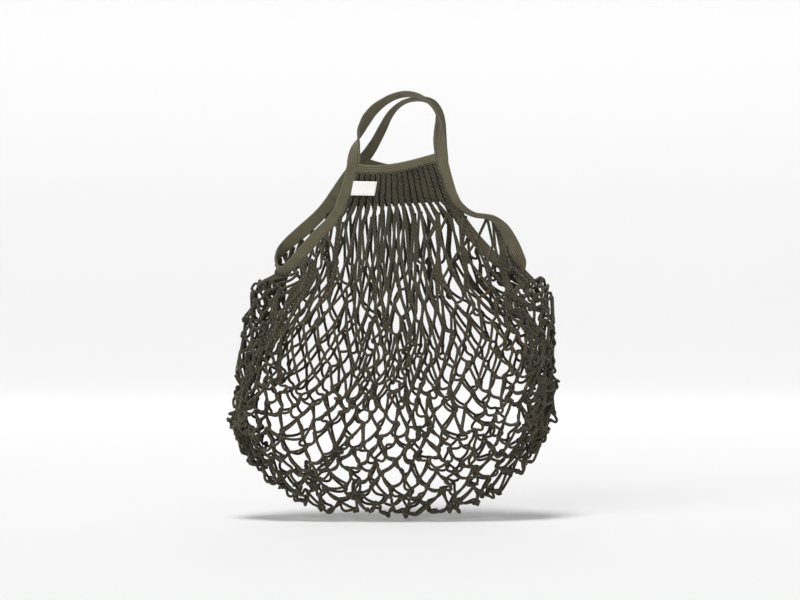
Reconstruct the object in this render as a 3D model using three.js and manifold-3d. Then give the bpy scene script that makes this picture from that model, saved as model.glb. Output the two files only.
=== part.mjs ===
// A knotless string shopping bag, in millimetres, +Z up.
// The front of the bag looks along -Y, and the origin is the point where a hand or a hook
// carries both handles. Two net panels hang from ribbed gathers, and one knitted tape runs
// round the bag: it edges both side slits and rises between them into the two handles.
import * as THREE from "three";
import { mergeVertices } from "three/addons/utils/BufferGeometryUtils.js";
import Module from "manifold-3d";

const wasm = await Module();
wasm.setup();

// Driving dimensions
const BODY_WIDTH = 390;        // the net, from its left side to its right side
const NET_DROP = 379;          // from the lower edge of the gathers to the lowest loops
const BODY_DEPTH = 84;         // between the two panels where the bag is deepest
const BODY_OFFSET = -26;       // the body hangs a little to the left of the carrying point
const GRIP_TO_RIM = 82;        // from the carrying point down to the middle of the rim bands
const GATHER_HEIGHT = 32;
const GATHER_THICKNESS = 3.2;
const RIB_DEPTH = 1.3;         // from the middle of the gather to a ridge
const RIB_COUNT = 14;
const RIM_BAND_HEIGHT = 11.4;
const RIM_BAND_THICKNESS = 3.4;
const RIM_SAG = 5.5;           // how far the rim dips between its two ends
const GATHER_SAG = 2.5;        // the same at the lower edge of the gathers
const FRONT_RIM_RISE = 12;     // how far the front rim's right end is pulled up by its handle
const BACK_RIM_RISE = 7;       // the same at the back rim's left end
const MOUTH_DEPTH = 32;        // between the two rim bands
const HANDLE_SPAN = 106;       // between the two feet of a handle, at the middle of the tape
const HANDLE_OFFSET = -21;     // middle between the feet, from the carrying point
const HANDLE_GAP = 21;         // between the two handles at the carrying point
const TAPE_WIDTH = 15.6;
const TAPE_THICKNESS = 2.8;
const TAPE_EDGE_ROUND = 0.9;
const STRAND_WIDTH = 5.6;      // two yarns side by side
const STRAND_THICKNESS = 2.8;  // one yarn
const LABEL_WIDTH = 26;
const LABEL_HEIGHT = 17;
const LABEL_THICKNESS = 0.9;
const LABEL_DROP = 23;         // from the middle of the rim band to the middle of the label
const SEAM_GAP = 0.3;          // between pieces that are sewn or laid together

// How finely the forms are divided
const CELL_COLUMNS = 7;        // across one panel
const HALF_ROWS = 8;           // down the net, an even number
const SLIT_HALF_ROWS = 2;      // of them beside a side slit, an even number
const SLIT_KNOTS = 4;          // stretches of the net's edge along a slit
const STRAND_STEPS = 2;
const TAPE_STEPS = 2;          // between two rows of the tape's tables
const POINTS_PER_RIB = 4;
const BAND_STEPS = RIB_COUNT * POINTS_PER_RIB / 2;

const POST_HEIGHT = RIM_BAND_HEIGHT / 2 + GATHER_HEIGHT;
const NET_TOP = -GRIP_TO_RIM - POST_HEIGHT;
const SLIT_END = SLIT_HALF_ROWS / HALF_ROWS;
const FRONT = -1;
const BACK = 1;
const SIDEWAYS = new THREE.Vector3(0, 1, 0);

// One tape runs round the bag. In its tables turn is the angle of its width, in degrees, from
// flat to the front, and width is a share of TAPE_WIDTH.
// Handles: x is a share of HANDLE_SPAN from HANDLE_OFFSET, z a share of GRIP_TO_RIM.
// The front handle rises at the left, twists over, and comes down at the right.
const FRONT_HANDLE = [
  { x: -0.497, z: -0.937, width: 1.0,  turn: 180 },
  { x: -0.478, z: -0.746, width: 1.0,  turn: 220 },
  { x: -0.455, z: -0.637, width: 0.9,  turn: 245 },
  { x: -0.440, z: -0.575, width: 0.84, turn: 270 },
  { x: -0.413, z: -0.461, width: 0.84, turn: 310 },
  { x: -0.342, z: -0.282, width: 0.9,  turn: 330 },
  { x: -0.257, z: -0.146, width: 0.88, turn: 325 },
  { x: -0.153, z: -0.041, width: 0.86, turn: 308 },
  { x: -0.048, z: 0.032,  width: 0.84, turn: 300 },
  { x: 0.077,  z: 0.073,  width: 0.84, turn: 296 },
  { x: 0.202,  z: 0.061,  width: 0.84, turn: 288 },
  { x: 0.303,  z: 0.007,  width: 0.84, turn: 277 },
  { x: 0.383,  z: -0.088, width: 0.84, turn: 272 },
  { x: 0.439,  z: -0.205, width: 0.84, turn: 270 },
  { x: 0.458,  z: -0.307, width: 0.84, turn: 246 },
  { x: 0.462,  z: -0.424, width: 0.86, turn: 226 },
  { x: 0.468,  z: -0.556, width: 0.94, turn: 202 },
  { x: 0.478,  z: -0.702, width: 1.0,  turn: 188 },
  { x: 0.494,  z: -0.849, width: 1.0,  turn: 180 },
];

// The back handle, from its right foot over to its left foot.
const BACK_HANDLE = [
  { x: 0.513,  z: -0.834, width: 0.92, turn: 22 },
  { x: 0.507,  z: -0.673, width: 0.88, turn: 30 },
  { x: 0.506,  z: -0.498, width: 0.84, turn: 38 },
  { x: 0.500,  z: -0.329, width: 0.82, turn: 42 },
  { x: 0.470,  z: -0.161, width: 0.8,  turn: 46 },
  { x: 0.400,  z: -0.030, width: 0.8,  turn: 56 },
  { x: 0.315,  z: 0.020,  width: 0.8,  turn: 68 },
  { x: 0.224,  z: 0.026,  width: 0.8,  turn: 76 },
  { x: 0.134,  z: 0.009,  width: 0.8,  turn: 78 },
  { x: 0.054,  z: -0.032, width: 0.8,  turn: 74 },
  { x: -0.025, z: -0.110, width: 0.8,  turn: 66 },
  { x: -0.095, z: -0.220, width: 0.8,  turn: 54 },
  { x: -0.172, z: -0.407, width: 0.84, turn: 42 },
  { x: -0.251, z: -0.600, width: 0.86, turn: 32 },
  { x: -0.348, z: -0.790, width: 0.9,  turn: 12 },
];

// Slits: x is a share of BODY_WIDTH from the body's middle, z a share of NET_DROP below the net's
// top, or of POST_HEIGHT above it where it is negative, out a share of half of MOUTH_DEPTH, and
// row the share of the net's rows that this point of the edge is beside.
// The right slit, down its front edge, round its end and up its back edge.
const RIGHT_SLIT = [
  { x: 0.148, z: -1.200, out: -1.0,  width: 0.96, turn: 180, row: -0.1 },
  { x: 0.162, z: -0.704, out: -1.0,  width: 0.88, turn: 180, row: -0.06 },
  { x: 0.171, z: -0.395, out: -1.0,  width: 0.86, turn: 178, row: -0.03 },
  { x: 0.182, z: -0.088, out: -1.0,  width: 0.86, turn: 160, row: -0.005 },
  { x: 0.197, z: 0.015,  out: -1.0,  width: 0.84, turn: 138, row: 0.015 },
  { x: 0.222, z: 0.036,  out: -1.0,  width: 0.84, turn: 116, row: 0.045 },
  { x: 0.251, z: 0.050,  out: -1.0,  width: 0.84, turn: 108, row: 0.075 },
  { x: 0.285, z: 0.055,  out: -1.0,  width: 0.84, turn: 110, row: 0.105 },
  { x: 0.311, z: 0.065,  out: -1.0,  width: 0.86, turn: 120, row: 0.13 },
  { x: 0.337, z: 0.090,  out: -1.0,  width: 0.94, turn: 140, row: 0.16 },
  { x: 0.357, z: 0.125,  out: -0.95, width: 1.0,  turn: 165, row: 0.19 },
  { x: 0.376, z: 0.166,  out: -0.8,  width: 1.0,  turn: 180, row: 0.215 },
  { x: 0.391, z: 0.199,  out: -0.5,  width: 0.84, turn: 165, row: 0.235 },
  { x: 0.389, z: 0.225,  out: 0.0,   width: 0.76, turn: 110, row: 0.25 },
  { x: 0.362, z: 0.223,  out: 0.45,  width: 0.8,  turn: 45,  row: 0.235 },
  { x: 0.322, z: 0.193,  out: 0.8,   width: 0.88, turn: 12,  row: 0.205 },
  { x: 0.278, z: 0.150,  out: 0.95,  width: 0.9,  turn: 0,   row: 0.16 },
  { x: 0.235, z: 0.098,  out: 1.0,   width: 0.9,  turn: 0,   row: 0.105 },
  { x: 0.197, z: 0.041,  out: 1.0,   width: 0.9,  turn: 0,   row: 0.05 },
  { x: 0.174, z: -0.095, out: 1.0,   width: 0.9,  turn: 0,   row: -0.01 },
  { x: 0.162, z: -0.600, out: 1.0,   width: 0.9,  turn: 0,   row: -0.05 },
  { x: 0.154, z: -1.105, out: 1.0,   width: 0.9,  turn: 0,   row: -0.1 },
];

// The left slit, down its back edge, round its end and up its front edge.
const LEFT_SLIT = [
  { x: -0.122, z: -1.042, out: 1.0,   width: 0.86, turn: 0,   row: -0.1 },
  { x: -0.146, z: -0.695, out: 1.0,   width: 0.9,  turn: 0,   row: -0.06 },
  { x: -0.183, z: -0.142, out: 1.0,   width: 0.9,  turn: 0,   row: -0.01 },
  { x: -0.218, z: 0.035,  out: 1.0,   width: 0.92, turn: 0,   row: 0.06 },
  { x: -0.273, z: 0.091,  out: 0.9,   width: 1.0,  turn: 0,   row: 0.13 },
  { x: -0.322, z: 0.135,  out: 0.75,  width: 0.94, turn: 8,   row: 0.18 },
  { x: -0.349, z: 0.165,  out: 0.6,   width: 0.84, turn: 35,  row: 0.21 },
  { x: -0.361, z: 0.195,  out: 0.3,   width: 0.76, turn: 80,  row: 0.235 },
  { x: -0.352, z: 0.220,  out: -0.1,  width: 0.76, turn: 118, row: 0.25 },
  { x: -0.332, z: 0.223,  out: -0.5,  width: 0.8,  turn: 150, row: 0.235 },
  { x: -0.311, z: 0.204,  out: -0.7,  width: 0.84, turn: 172, row: 0.215 },
  { x: -0.281, z: 0.170,  out: -0.8,  width: 0.88, turn: 180, row: 0.18 },
  { x: -0.230, z: 0.112,  out: -0.9,  width: 0.88, turn: 180, row: 0.12 },
  { x: -0.177, z: 0.054,  out: -0.95, width: 0.88, turn: 180, row: 0.06 },
  { x: -0.151, z: -0.063, out: -1.0,  width: 0.88, turn: 180, row: -0.01 },
  { x: -0.134, z: -0.600, out: -1.0,  width: 0.9,  turn: 180, row: -0.05 },
  { x: -0.125, z: -1.011, out: -1.0,  width: 0.9,  turn: 180, row: -0.1 },
];

// The middle line of a panel, from the gathers down to the fold. x and z are shares as in the
// slits' tables, mouth a share of half of MOUTH_DEPTH and belly of half of BODY_DEPTH, curve
// bends a row up towards its ends, and bunch draws its outer columns together.
const MIDDLE_LINE = [
  { row: 0.0,   x: 0.023,  z: 0.0,   mouth: 1.0, belly: 0.0,  curve: 2.0, bunch: 0.0 },
  { row: 0.125, x: 0.023,  z: 0.156, mouth: 0.5, belly: 0.38, curve: 2.0, bunch: 0.0 },
  { row: 0.25,  x: 0.022,  z: 0.305, mouth: 0.1, belly: 0.72, curve: 2.0, bunch: 0.0 },
  { row: 0.375, x: 0.020,  z: 0.445, mouth: 0.0, belly: 0.9,  curve: 2.2, bunch: 0.1 },
  { row: 0.5,   x: 0.017,  z: 0.575, mouth: 0.0, belly: 1.0,  curve: 2.4, bunch: 0.1 },
  { row: 0.625, x: 0.012,  z: 0.694, mouth: 0.0, belly: 1.0,  curve: 2.6, bunch: 0.1 },
  { row: 0.75,  x: 0.007,  z: 0.803, mouth: 0.0, belly: 0.88, curve: 2.9, bunch: 0.1 },
  { row: 0.875, x: 0.002,  z: 0.904, mouth: 0.0, belly: 0.6,  curve: 3.2, bunch: 0.05 },
  { row: 1.0,   x: -0.004, z: 0.988, mouth: 0.0, belly: 0.0,  curve: 3.5, bunch: 0.0 },
];

// The folds at the two sides of the net, below the slits, in the same shares.
const SIDE_FOLDS = [
  { row: 0.25,  leftX: -0.352, leftZ: 0.262, rightX: 0.402, rightZ: 0.256 },
  { row: 0.375, leftX: -0.437, leftZ: 0.372, rightX: 0.472, rightZ: 0.338 },
  { row: 0.5,   leftX: -0.472, leftZ: 0.484, rightX: 0.491, rightZ: 0.436 },
  { row: 0.625, leftX: -0.485, leftZ: 0.573, rightX: 0.490, rightZ: 0.516 },
  { row: 0.75,  leftX: -0.490, leftZ: 0.650, rightX: 0.484, rightZ: 0.592 },
  { row: 0.875, leftX: -0.485, leftZ: 0.712, rightX: 0.476, rightZ: 0.659 },
  { row: 1.0,   leftX: -0.462, leftZ: 0.772, rightX: 0.462, rightZ: 0.732 },
];

// Small helpers

function vector(x, y, z) {
  return new THREE.Vector3(x, y, z);
}

function mix(from, to, share) {
  return from + (to - from) * share;
}

function mixPoints(from, to, share) {
  return from.clone().lerp(to, share);
}

function lookUp(table, key, value) {
  const last = table.length - 2;
  let index = 0;
  while (index < last && value > table[index + 1][key]) {
    index += 1;
  }
  const low = table[index];
  const high = table[index + 1];
  const share = (value - low[key]) / (high[key] - low[key]);
  const found = {};
  for (const name of Object.keys(low)) {
    found[name] = mix(low[name], high[name], share);
  }
  return found;
}

function heightAt(share) {
  return share < 0 ? NET_TOP - share * POST_HEIGHT : NET_TOP - share * NET_DROP;
}

// Closed solids

function meshGeometry(points, triangles) {
  const geometry = new THREE.BufferGeometry();
  const numbers = points.flatMap((point) => [point.x, point.y, point.z]);
  geometry.setAttribute("position", new THREE.Float32BufferAttribute(numbers, 3));
  geometry.setIndex(triangles.flat());
  return geometry;
}

// Gives a sheet of faces its thickness along its normals, and closes its free edges.
function thickSheet(points, normals, faces, thickness) {
  const count = points.length;
  const outer = points.map((point, i) => point.clone().addScaledVector(normals[i], thickness / 2));
  const inner = points.map((point, i) => point.clone().addScaledVector(normals[i], -thickness / 2));
  const triangles = [];
  const edges = new Map();
  for (const face of faces) {
    for (let i = 1; i < face.length - 1; i += 1) {
      triangles.push([face[0], face[i], face[i + 1]]);
      triangles.push([face[0] + count, face[i + 1] + count, face[i] + count]);
    }
    face.forEach((from, i) => {
      const to = face[(i + 1) % face.length];
      if (!edges.delete(`${to} ${from}`)) {
        edges.set(`${from} ${to}`, [from, to]);
      }
    });
  }
  for (const [from, to] of edges.values()) {
    triangles.push([to, from, from + count]);
    triangles.push([to, from + count, to + count]);
  }
  return meshGeometry([...outer, ...inner], triangles);
}

function toSolid(geometry) {
  const bare = geometry.clone();
  bare.deleteAttribute("normal");
  bare.deleteAttribute("uv");
  const merged = mergeVertices(bare, 1e-4);
  const mesh = new wasm.Mesh({
    numProp: 3,
    vertProperties: new Float32Array(merged.attributes.position.array),
    triVerts: new Uint32Array(merged.index.array),
  });
  return new wasm.Manifold(mesh);
}

function toGeometry(solid) {
  const mesh = solid.getMesh();
  const geometry = new THREE.BufferGeometry();
  geometry.setAttribute("position", new THREE.BufferAttribute(mesh.vertProperties, 3));
  geometry.setIndex(new THREE.BufferAttribute(mesh.triVerts, 1));
  return geometry;
}

function mesh(name, geometry, color, roughness) {
  const shaded = geometry.index ? geometry.toNonIndexed() : geometry;
  shaded.computeVertexNormals();
  const material = new THREE.MeshStandardMaterial({ color, roughness, metalness: 0 });
  const piece = new THREE.Mesh(shaded, material);
  piece.name = name;
  return piece;
}

// The tape: one closed route, and the pieces of it between two corners of the rim

function handlePoint(row, panel) {
  const rise = THREE.MathUtils.clamp(row.z + 1, 0, 1);
  const out = mix(MOUTH_DEPTH / 2, HANDLE_GAP / 2, rise);
  return vector(HANDLE_OFFSET + row.x * HANDLE_SPAN, panel * out, row.z * GRIP_TO_RIM);
}

function slitPoint(row) {
  return vector(BODY_OFFSET + row.x * BODY_WIDTH, row.out * MOUTH_DEPTH / 2, heightAt(row.z));
}

const TAPE_PIECES = [
  { name: "handle_front", rows: FRONT_HANDLE, place: (row) => handlePoint(row, FRONT) },
  { name: "slit_binding_right", rows: RIGHT_SLIT, place: slitPoint },
  { name: "handle_back", rows: BACK_HANDLE, place: (row) => handlePoint(row, BACK) },
  { name: "slit_binding_left", rows: LEFT_SLIT, place: slitPoint },
];

const TAPE_ROWS = TAPE_PIECES.flatMap((piece) => piece.rows);
const TAPE_ROUTE = new THREE.CatmullRomCurve3(
  TAPE_PIECES.flatMap((piece) => piece.rows.map(piece.place)), true, "centripetal");

// The tape at a place counted in rows of the whole ring, with a share between two rows.
function tapeAt(place) {
  const count = TAPE_ROWS.length;
  const wrapped = ((place % count) + count) % count;
  const low = TAPE_ROWS[Math.floor(wrapped)];
  const high = TAPE_ROWS[(Math.floor(wrapped) + 1) % count];
  const share = wrapped - Math.floor(wrapped);
  const point = TAPE_ROUTE.getPoint(wrapped / count);
  const along = TAPE_ROUTE.getTangent(wrapped / count);
  const flat = vector().crossVectors(along, SIDEWAYS).normalize();
  const deep = vector().crossVectors(flat, along).normalize();
  const turn = THREE.MathUtils.degToRad(mix(low.turn, high.turn, share));
  const across = flat.clone().multiplyScalar(Math.cos(turn)).addScaledVector(deep, Math.sin(turn));
  const face = deep.clone().multiplyScalar(Math.cos(turn)).addScaledVector(flat, -Math.sin(turn));
  return { point, along, across, face, halfWidth: mix(low.width, high.width, share) * TAPE_WIDTH / 2 };
}

function tapeSection(halfWidth, halfThickness, round) {
  const flatWidth = halfWidth - round;
  const flatThickness = halfThickness - round;
  return [
    [halfWidth, flatThickness], [flatWidth, halfThickness],
    [-flatWidth, halfThickness], [-halfWidth, flatThickness],
    [-halfWidth, -flatThickness], [-flatWidth, -halfThickness],
    [flatWidth, -halfThickness], [halfWidth, -flatThickness],
  ];
}

function tapeSolid(firstRow, lastRow, clearance) {
  const steps = Math.round((lastRow - firstRow) * TAPE_STEPS);
  const points = [];
  const triangles = [];
  for (let step = 0; step <= steps; step += 1) {
    const tape = tapeAt(mix(firstRow, lastRow, step / steps));
    const trim = clearance ? 0 : SEAM_GAP / 2;
    const shift = step === 0 ? trim : (step === steps ? -trim : 0);
    const section = tapeSection(
      tape.halfWidth + clearance, TAPE_THICKNESS / 2 + clearance, TAPE_EDGE_ROUND);
    for (const [wide, thick] of section) {
      points.push(tape.point.clone().addScaledVector(tape.across, wide)
        .addScaledVector(tape.face, thick).addScaledVector(tape.along, shift));
    }
  }
  const sides = points.length / (steps + 1);
  for (let step = 0; step < steps; step += 1) {
    for (let side = 0; side < sides; side += 1) {
      const a = step * sides + side;
      const b = step * sides + (side + 1) % sides;
      triangles.push([a, b + sides, b], [a, a + sides, b + sides]);
    }
  }
  for (let side = 1; side < sides - 1; side += 1) {
    const end = steps * sides;
    triangles.push([0, side, side + 1], [end, end + side + 1, end + side]);
  }
  return meshGeometry(points, triangles);
}

function tapeSpan(name) {
  let first = 0;
  for (const piece of TAPE_PIECES) {
    if (piece.name === name) {
      return { first: first - 0.5, last: first + piece.rows.length - 0.5 };
    }
    first += piece.rows.length;
  }
  return null;
}

// Cuts a piece back wherever the tape, with its clearance, passes.
function clearOfTape(geometry) {
  let solid = toSolid(geometry);
  for (const piece of TAPE_PIECES) {
    const span = tapeSpan(piece.name);
    solid = solid.subtract(toSolid(tapeSolid(span.first, span.last, SEAM_GAP)));
  }
  return solid;
}

function bindingEdge(tape, clearance) {
  return tape.point.clone().addScaledVector(tape.across, tape.halfWidth + clearance);
}

// The posts are the tape's stretches beside a gather and its rim. The rows of the tape that
// are searched for a height reach a little past them.
const ROWS_ABOVE_POST = 2;
const ROWS_BELOW_POST = 6;
const SEARCH_PASSES = 40;

// The edge of a post, at a height counted in shares of POST_HEIGHT over the net's top.
function postEdge(panel, side, above, clearance) {
  const name = side === "left" ? "slit_binding_left" : "slit_binding_right";
  const span = tapeSpan(name);
  const startsHere = (side === "left") === (panel === BACK);
  let low = startsHere ? span.first - ROWS_ABOVE_POST : span.last + ROWS_ABOVE_POST;
  let high = startsHere ? span.first + ROWS_BELOW_POST : span.last - ROWS_BELOW_POST;
  const height = NET_TOP + above * POST_HEIGHT;
  for (let pass = 0; pass < SEARCH_PASSES; pass += 1) {
    const middle = (low + high) / 2;
    if (tapeAt(middle).point.z > height) {
      low = middle;
    } else {
      high = middle;
    }
  }
  return bindingEdge(tapeAt(low), clearance);
}

// The edge of a slit's tape beside a row of the net.
function slitEdge(panel, side, row, clearance) {
  const name = side === "left" ? "slit_binding_left" : "slit_binding_right";
  const span = tapeSpan(name);
  const rows = side === "left" ? LEFT_SLIT : RIGHT_SLIT;
  const end = rows.findIndex((entry) => entry.row === SLIT_END);
  const startsHere = (side === "left") === (panel === BACK);
  let index = startsHere ? 0 : rows.length - 1;
  const step = startsHere ? 1 : -1;
  while (index + step !== end && rows[index + step].row < row) {
    index += step;
  }
  const share = (row - rows[index].row) / (rows[index + step].row - rows[index].row);
  return bindingEdge(tapeAt(span.first + 0.5 + index + step * share), clearance);
}

function sideFold(side, row) {
  const fold = lookUp(SIDE_FOLDS, "row", row);
  return vector(BODY_OFFSET + fold[`${side}X`] * BODY_WIDTH, 0, heightAt(fold[`${side}Z`]));
}

const NET_CLEARANCE = SEAM_GAP + STRAND_WIDTH / 2;
const SAG_LEAN = 0.85;         // under 1 the rim's lowest point lies left of its middle
const NORMAL_REACH = 0.03;     // share of the panel over which its slope is taken
const CORNER_REACH = 0.4;      // most of a strand's length that a corner between two may take

// The side of a panel: the tape's edge down to the slit's end, then the fold of the net.

function panelSide(panel, side, row) {
  if (row >= SLIT_END) {
    return sideFold(side, row);
  }
  return row > 0 ? slitEdge(panel, side, row, NET_CLEARANCE) : postEdge(panel, side, 0, NET_CLEARANCE);
}

function sagAt(across, above) {
  return mix(GATHER_SAG, RIM_SAG, above) * Math.sin(Math.PI * across ** SAG_LEAN);
}

// The pull of a handle, in shares of POST_HEIGHT: nothing at the net's top, all of it at the rim.
function riseAt(panel, side, above) {
  const pulled = (side === "right") === (panel === FRONT);
  const rise = panel === FRONT ? FRONT_RIM_RISE : BACK_RIM_RISE;
  return pulled ? rise / POST_HEIGHT * Math.min(1, above / BAND_LOW) : 0;
}

function rimPoint(panel, across, above, clearance) {
  const left = postEdge(panel, "left", above + riseAt(panel, "left", above), clearance);
  const right = postEdge(panel, "right", above + riseAt(panel, "right", above), clearance);
  const point = mixPoints(left, right, across);
  point.y = panel * MOUTH_DEPTH / 2;
  point.z -= sagAt(across, above);
  return point;
}

// A point of a net panel: across runs from 0 at the left to 1 at the right.
function panelPoint(panel, across, row) {
  const middle = lookUp(MIDDLE_LINE, "row", row);
  const side = panelSide(panel, across < 0.5 ? "left" : "right", row);
  const outward = Math.abs(2 * across - 1);
  const spread = outward * (1 + middle.bunch) - middle.bunch * outward ** 3;
  const bulge = Math.sqrt(Math.max(0, 1 - outward ** 2));
  const depth = middle.mouth * MOUTH_DEPTH / 2 + middle.belly * BODY_DEPTH / 2;
  const centre = vector(BODY_OFFSET + middle.x * BODY_WIDTH, panel * depth, heightAt(middle.z));
  const point = vector(
    mix(centre.x, side.x, spread),
    mix(side.y, centre.y, bulge),
    mix(centre.z, side.z, outward ** middle.curve),
  );
  const firstRow = MIDDLE_LINE[1].row;
  if (row >= firstRow) {
    return point;
  }
  return mixPoints(rimPoint(panel, across, 0, NET_CLEARANCE), point, row / firstRow);
}

function panelNormal(panel, across, row) {
  const left = panelPoint(panel, Math.max(0, across - NORMAL_REACH), row);
  const right = panelPoint(panel, Math.min(1, across + NORMAL_REACH), row);
  const above = panelPoint(panel, across, Math.max(0, row - NORMAL_REACH));
  const below = panelPoint(panel, across, Math.min(1, row + NORMAL_REACH));
  const normal = right.sub(left).cross(above.sub(below)).normalize();
  return panel === FRONT ? normal : normal.negate();
}

// The net: knots, and the strands between them

function foldNormal(from, to) {
  return to.clone().sub(from).cross(SIDEWAYS).normalize();
}

function netKnots() {
  const knots = new Map();
  const columns = 2 * CELL_COLUMNS;
  const fold = [];
  for (let row = SLIT_HALF_ROWS; row <= HALF_ROWS; row += 2) {
    fold.push({ key: `0 ${row}`, point: sideFold("left", row / HALF_ROWS) });
  }
  for (let column = 2; column < columns; column += 2) {
    fold.push({ key: `${column} ${HALF_ROWS}`, point: panelPoint(FRONT, column / columns, 1) });
  }
  for (let row = HALF_ROWS; row >= SLIT_HALF_ROWS; row -= 2) {
    fold.push({ key: `${columns} ${row}`, point: sideFold("right", row / HALF_ROWS) });
  }
  fold.forEach((knot, i) => {
    const before = fold[Math.max(0, i - 1)].point;
    const after = fold[Math.min(fold.length - 1, i + 1)].point;
    knots.set(knot.key, { point: knot.point, normal: foldNormal(after, before), ends: [] });
  });
  for (const panel of [FRONT, BACK]) {
    for (let row = 0; row < HALF_ROWS; row += 1) {
      for (let column = row % 2; column <= columns; column += 2) {
        const across = column / columns;
        if (!knots.has(`${column} ${row}`)) {
          const point = panelPoint(panel, across, row / HALF_ROWS);
          const normal = panelNormal(panel, across, row / HALF_ROWS);
          knots.set(`${column} ${row} ${panel}`, { point, normal, ends: [] });
        }
      }
    }
    for (const side of ["left", "right"]) {
      for (let step = 1; step < SLIT_KNOTS; step += 1) {
        const row = SLIT_END * step / SLIT_KNOTS;
        const point = slitEdge(panel, side, row, NET_CLEARANCE);
        const normal = panelNormal(panel, side === "left" ? 0 : 1, row);
        knots.set(`${side} ${step} ${panel}`, { point, normal, ends: [] });
      }
    }
  }
  return knots;
}

function netStrands(knots) {
  const strands = [];
  const columns = 2 * CELL_COLUMNS;
  const find = (column, row, panel) => {
    const shared = `${column} ${row}`;
    return knots.has(shared) ? shared : `${shared} ${panel}`;
  };
  for (const panel of [FRONT, BACK]) {
    for (let row = 0; row < HALF_ROWS; row += 1) {
      for (let column = row % 2; column <= columns; column += 2) {
        for (const next of [column - 1, column + 1]) {
          if (next >= 0 && next <= columns) {
            strands.push([find(column, row, panel), find(next, row + 1, panel)]);
          }
        }
      }
    }
    for (let column = 0; column < columns; column += 2) {
      strands.push([find(column, 0, panel), find(column + 2, 0, panel)]);
    }
    for (const [side, column] of [["left", 0], ["right", columns]]) {
      let last = find(column, 0, panel);
      for (let step = 1; step < SLIT_KNOTS; step += 1) {
        strands.push([last, `${side} ${step} ${panel}`]);
        last = `${side} ${step} ${panel}`;
      }
      strands.push([last, find(column, SLIT_HALF_ROWS, panel)]);
    }
  }
  return strands;
}

// Sorts the strands round each knot, and puts a corner between each two neighbours.
function netCorners(knots, points, normals) {
  for (const knot of knots.values()) {
    const level = Math.abs(knot.normal.z) < 0.9 ? vector(0, 0, 1) : vector(1, 0, 0);
    const first = vector().crossVectors(level, knot.normal).normalize();
    const second = vector().crossVectors(knot.normal, first);
    for (const end of knot.ends) {
      const away = end.other.point.clone().sub(knot.point);
      end.length = away.length();
      end.angle = Math.atan2(away.dot(second), away.dot(first));
    }
    knot.ends.sort((a, b) => a.angle - b.angle);
    const count = knot.ends.length;
    knot.corners = [];
    knot.ends.forEach((end, i) => {
      const next = knot.ends[(i + 1) % count];
      const sector = (next.angle - end.angle + 2 * Math.PI) % (2 * Math.PI) || 2 * Math.PI;
      const middle = end.angle + sector / 2;
      const longest = CORNER_REACH * Math.min(end.length, next.length);
      const reach = Math.min(longest, STRAND_WIDTH / 2 / Math.sin(sector / 2));
      end.left = points.length;
      next.right = points.length;
      knot.corners.push(points.length);
      points.push(knot.point.clone().addScaledVector(first, reach * Math.cos(middle))
        .addScaledVector(second, reach * Math.sin(middle)));
      normals.push(knot.normal);
    });
  }
}

function netSheet() {
  const knots = netKnots();
  for (const [from, to] of netStrands(knots)) {
    const start = { other: knots.get(to) };
    const end = { other: knots.get(from), twin: start };
    start.twin = end;
    knots.get(from).ends.push(start);
    knots.get(to).ends.push(end);
    start.first = true;
  }
  const points = [];
  const normals = [];
  const faces = [];
  netCorners(knots, points, normals);
  for (const knot of knots.values()) {
    if (knot.corners.length > 2) {
      faces.push(knot.corners);
    }
    for (const end of knot.ends.filter((entry) => entry.first)) {
      addStrand(knot, end, points, normals, faces);
    }
  }
  return thickSheet(points, normals, faces, STRAND_THICKNESS);
}

// A strand bends with the surface between its two knots.
function addStrand(knot, end, points, normals, faces) {
  const other = end.other;
  const along = other.point.clone().sub(knot.point);
  const bend = other.normal.clone().sub(knot.normal).dot(along) / 2;
  let right = end.right;
  let left = end.left;
  const rightStart = points[end.right].clone();
  const leftStart = points[end.left].clone();
  for (let step = 1; step < STRAND_STEPS; step += 1) {
    const share = step / STRAND_STEPS;
    const normal = mixPoints(knot.normal, other.normal, share).normalize();
    const lift = bend * share * (1 - share);
    const nextRight = points.length;
    points.push(mixPoints(rightStart, points[end.twin.left], share).addScaledVector(normal, lift));
    points.push(mixPoints(leftStart, points[end.twin.right], share).addScaledVector(normal, lift));
    normals.push(normal, normal);
    faces.push([right, nextRight, nextRight + 1, left]);
    right = nextRight;
    left = nextRight + 1;
  }
  faces.push([right, end.twin.left, end.twin.right, left]);
}

function halfSpace(panel) {
  const size = 4 * (BODY_WIDTH + NET_DROP);
  const box = new THREE.BoxGeometry(size, size, size);
  box.translate(0, panel * (size + SEAM_GAP) / 2, 0);
  return toSolid(box);
}

function netPanels() {
  const net = clearOfTape(netSheet());
  return [FRONT, BACK].map((panel) => toGeometry(net.intersect(halfSpace(panel))));
}

// The gathers and the rim bands lie between the posts of the tape

// An upright sheet, given its thickness level.
function gridSheet(columns, rows, thickness, panel, place) {
  const points = [];
  const faces = [];
  for (let row = 0; row <= rows; row += 1) {
    for (let column = 0; column <= columns; column += 1) {
      points.push(place(column / columns, row / rows));
    }
  }
  const at = (column, row) => row * (columns + 1) + column;
  const normals = points.map((point, i) => {
    const column = i % (columns + 1);
    const row = Math.floor(i / (columns + 1));
    const right = points[at(Math.min(columns, column + 1), row)].clone();
    const above = points[at(column, Math.min(rows, row + 1))].clone();
    right.sub(points[at(Math.max(0, column - 1), row)]);
    above.sub(points[at(column, Math.max(0, row - 1))]);
    return right.cross(above).setZ(0).normalize().multiplyScalar(panel === FRONT ? 1 : -1);
  });
  for (let row = 0; row < rows; row += 1) {
    for (let column = 0; column < columns; column += 1) {
      const face = [at(column, row), at(column + 1, row), at(column + 1, row + 1), at(column, row + 1)];
      faces.push(panel === FRONT ? face : face.reverse());
    }
  }
  return thickSheet(points, normals, faces, thickness);
}

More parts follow.
